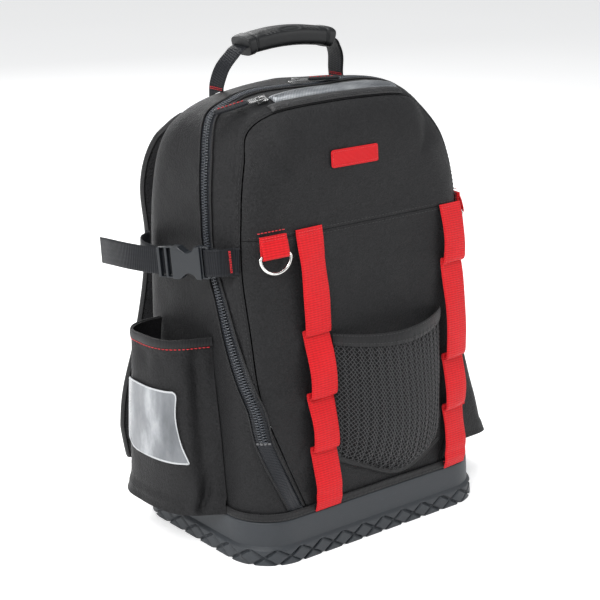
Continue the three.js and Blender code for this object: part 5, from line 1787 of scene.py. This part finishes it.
# %% [markdown]
# A shoulder pad is foam between two mesh faces, with a bound edge. A simulation could blow it up from flat
# cloth, but a superellipse carried along its route keeps the width and thickness that the solid has.

# %% Shoulder pads and lower webs
pad_width, pad_thick, pad_stand = 64.0, 13.0, 40.0
pad_rows = [
    (0.548, 0.85, 0.81), (0.578, 1, 0.749), (0.554, 1, 0.628), (0.596, 0.975, 0.506),
    (0.699, 0.925, 0.364), (0.819, 0.9, 0.235), (0.861, 0.825, 0.093),
]


def shoulder_pad(side, sign):
    """A padded strap: superellipse sections along its route, quilted across, with a taped edge."""
    seated = panel_back + yoke_thick + seat
    route = [(0.41 * half_width, seated + 5.9, yoke_height + 2)]
    route += [(0.476 * half_width, seated + 16.2, yoke_height - 14)]
    route += [(out * half_width, panel_back + back * pad_stand, high * crown) for out, back, high in pad_rows]
    path = spline([(sign * x, y, z) for x, y, z in route], 150)
    t = np.linspace(0, 1, 151)
    way = unit(np.gradient(path, axis=0))
    across = unit(np.cross(way, rearward))
    out = unit(np.cross(across, way))
    round_end = np.minimum.reduce([np.ones(151), 6 * t + 0.5, 6 * (1 - t) + 0.45])
    width = (pad_width - 5.0) * (1 - 0.14 * t) * round_end ** 0.5
    wide, high = squarish(turns(56, 0.5), 0.7)
    pad_length, quilt_pitch = 430.0, 52.0
    quilt = 1 - 0.16 * np.exp(-((t * pad_length % quilt_pitch - quilt_pitch / 2) / 3.2) ** 2)
    close = np.clip(np.minimum(t, 1 - t) / 0.012, 0.15, 1) ** 0.5
    thick = (pad_thick - 0.6) * quilt * close
    crown_in = 1 - 0.10 * np.abs(wide) ** 3
    size_w = wide * width[:, None] / 2
    size_t = high * thick[:, None] / 2 * crown_in
    points = path[:, None] + size_w[..., None] * across[:, None] + size_t[..., None] * out[:, None]
    piece = make(f"shoulder_padding_{side}", points, mesh_cloth, node=f"shoulder_pad_{side}",
                 ends="fan", sharp=70)
    reach = across * (width / 2 - 0.3)[:, None]
    loop = even_loop(np.vstack([path + reach, (path - reach)[::-1]]), 360)
    both = np.vstack([out, out[::-1]])
    places, turn = np.linspace(0, 1, len(both)), np.linspace(0, 1, 361)[:360]
    out_at = np.stack([np.interp(turn, places, both[:, k]) for k in range(3)], -1)
    side_way = unit(np.cross(out_at, loop_way(loop)))
    ring = round_ring(10, side_way, unit(out_at), 2.2, 4.4)
    make(f"pad_binding_{side}", loop[:, None] + ring, edge_tape, ends="closed")

    foot = path[-1]
    foot_x, foot_out = abs(foot[0]), foot[1] - panel_back
    web = [
        (-31, seat + 1, 50), (-29, seat + 1.6, 34), (-11, 0.24 * foot_out, 10), (-1, 0.52 * foot_out, -8),
        (1, 0.8 * foot_out, -15), (1, 0.97 * foot_out, -10), (0, foot_out, -1.2),
    ]
    line = spline([(sign * (foot_x + x), panel_back + y, foot[2] + z) for x, y, z in web], 80)
    strap(f"lower_webbing_{side}", line, [1.0, 0, 0], 25.0, strap_thick, black_web,
          f"lower_web_{side}")


shoulder_pad("left", -1)
shoulder_pad("right", 1)

# %% [markdown]
# The front label is plain red woven cloth without any mark. A flat box would float over the curved
# front, so a small lattice follows it. A fine weave and a stitched border finish it.


# %% Label
def label():
    """A thin sewn rectangle over the upper front, with a row of stitches inside its edge."""
    long, high, corner, hem, below_crown, aside = 66.0, 19.0, 3.0, 2.2, 66.0, 8.0
    left, foot = -long / 2 - aside, crown - below_crown - high / 2
    z = np.linspace(foot, foot + high, 30)[:, None]
    from_edge = np.minimum(z - foot, foot + high - z)
    near_edge = np.clip((corner - from_edge) / corner, 0, 1)
    cut = corner * (1 - np.sqrt(1 - near_edge ** 2))
    x = lerp(left + cut, left + long - cut, np.linspace(0, 1, 60)[None, :])
    at, out = front_frame(*np.broadcast_arrays(x, z))
    inset = np.minimum(np.minimum(x - left, left + long - x), from_edge)
    lift = seat + 0.35 + 0.65 * np.clip(inset / 1.2, 0, 1) ** 0.5
    lift = lift - 0.25 * np.exp(-((inset - hem) / 0.5) ** 2)
    outer, inner = at + out * lift[..., None], at + out * seat
    make_wall("plain_label", outer, inner, z, x, label_cloth, "front_label")
    low, top = (left + hem, foot + hem), (left + long - hem, foot + high - hem)
    line = resample(np.array([low, (top[0], low[1]), top, (low[0], top[1]), low]), 160)
    on, away = front_frame(line[:, 0], line[:, 1])
    sew("red", on + away * (seat + 0.75), away, length=2.0, gap=0.9, lift=0.4)


label_cloth = tape("label_cloth", (0.36, 0.004, 0.007), (0.74, 0.012, 0.017), 0.52, 0.0013, 0.0013, 0.18)
label()

# %% [markdown]
# All stitches of one colour become one mesh, which keeps the scene light. Each seam above has kept its
# paths in a list, so a seam can be moved without touching the others.

# %% Stitches
thread_rows = [
    ("red", red_thread, "red_web", 0.5), ("black", black_thread, "body_cloth", 0.34),
    ("grey", grey_thread, "zip_tape", 0.42),
]
for colour, paint, slot, size in thread_rows:
    tubes(f"{colour}_stitches", np.concatenate(seams[colour]), size, paint)

# %% [markdown]
# The floor only catches the shadow. It is a stage and no part of the bag.


# %% Floor
def floor():
    """A large pale sheet under the bag, which isn't part of it."""
    mesh = bpy.data.meshes.new("floor")
    size = 8.0
    corners = [(-size, -size, 0), (size, -size, 0), (size, size, 0), (-size, size, 0)]
    mesh.from_pydata(corners, [], [(0, 1, 2, 3)])
    paint = Paint("floor", emission_color=(1.0, 1.0, 1.0, 1.0), emission_strength=0.5)
    tone = paint.noise(0.6, 2.0)
    colour = paint.mix(tone, (0.80, 0.80, 0.80), (0.84, 0.84, 0.84))
    mesh.materials.append(paint.feed(base_color=colour, roughness=tone * 0.1 + 0.6))
    sheet = bpy.data.objects.new("floor", mesh)
    bpy.context.scene.collection.objects.link(sheet)


floor()
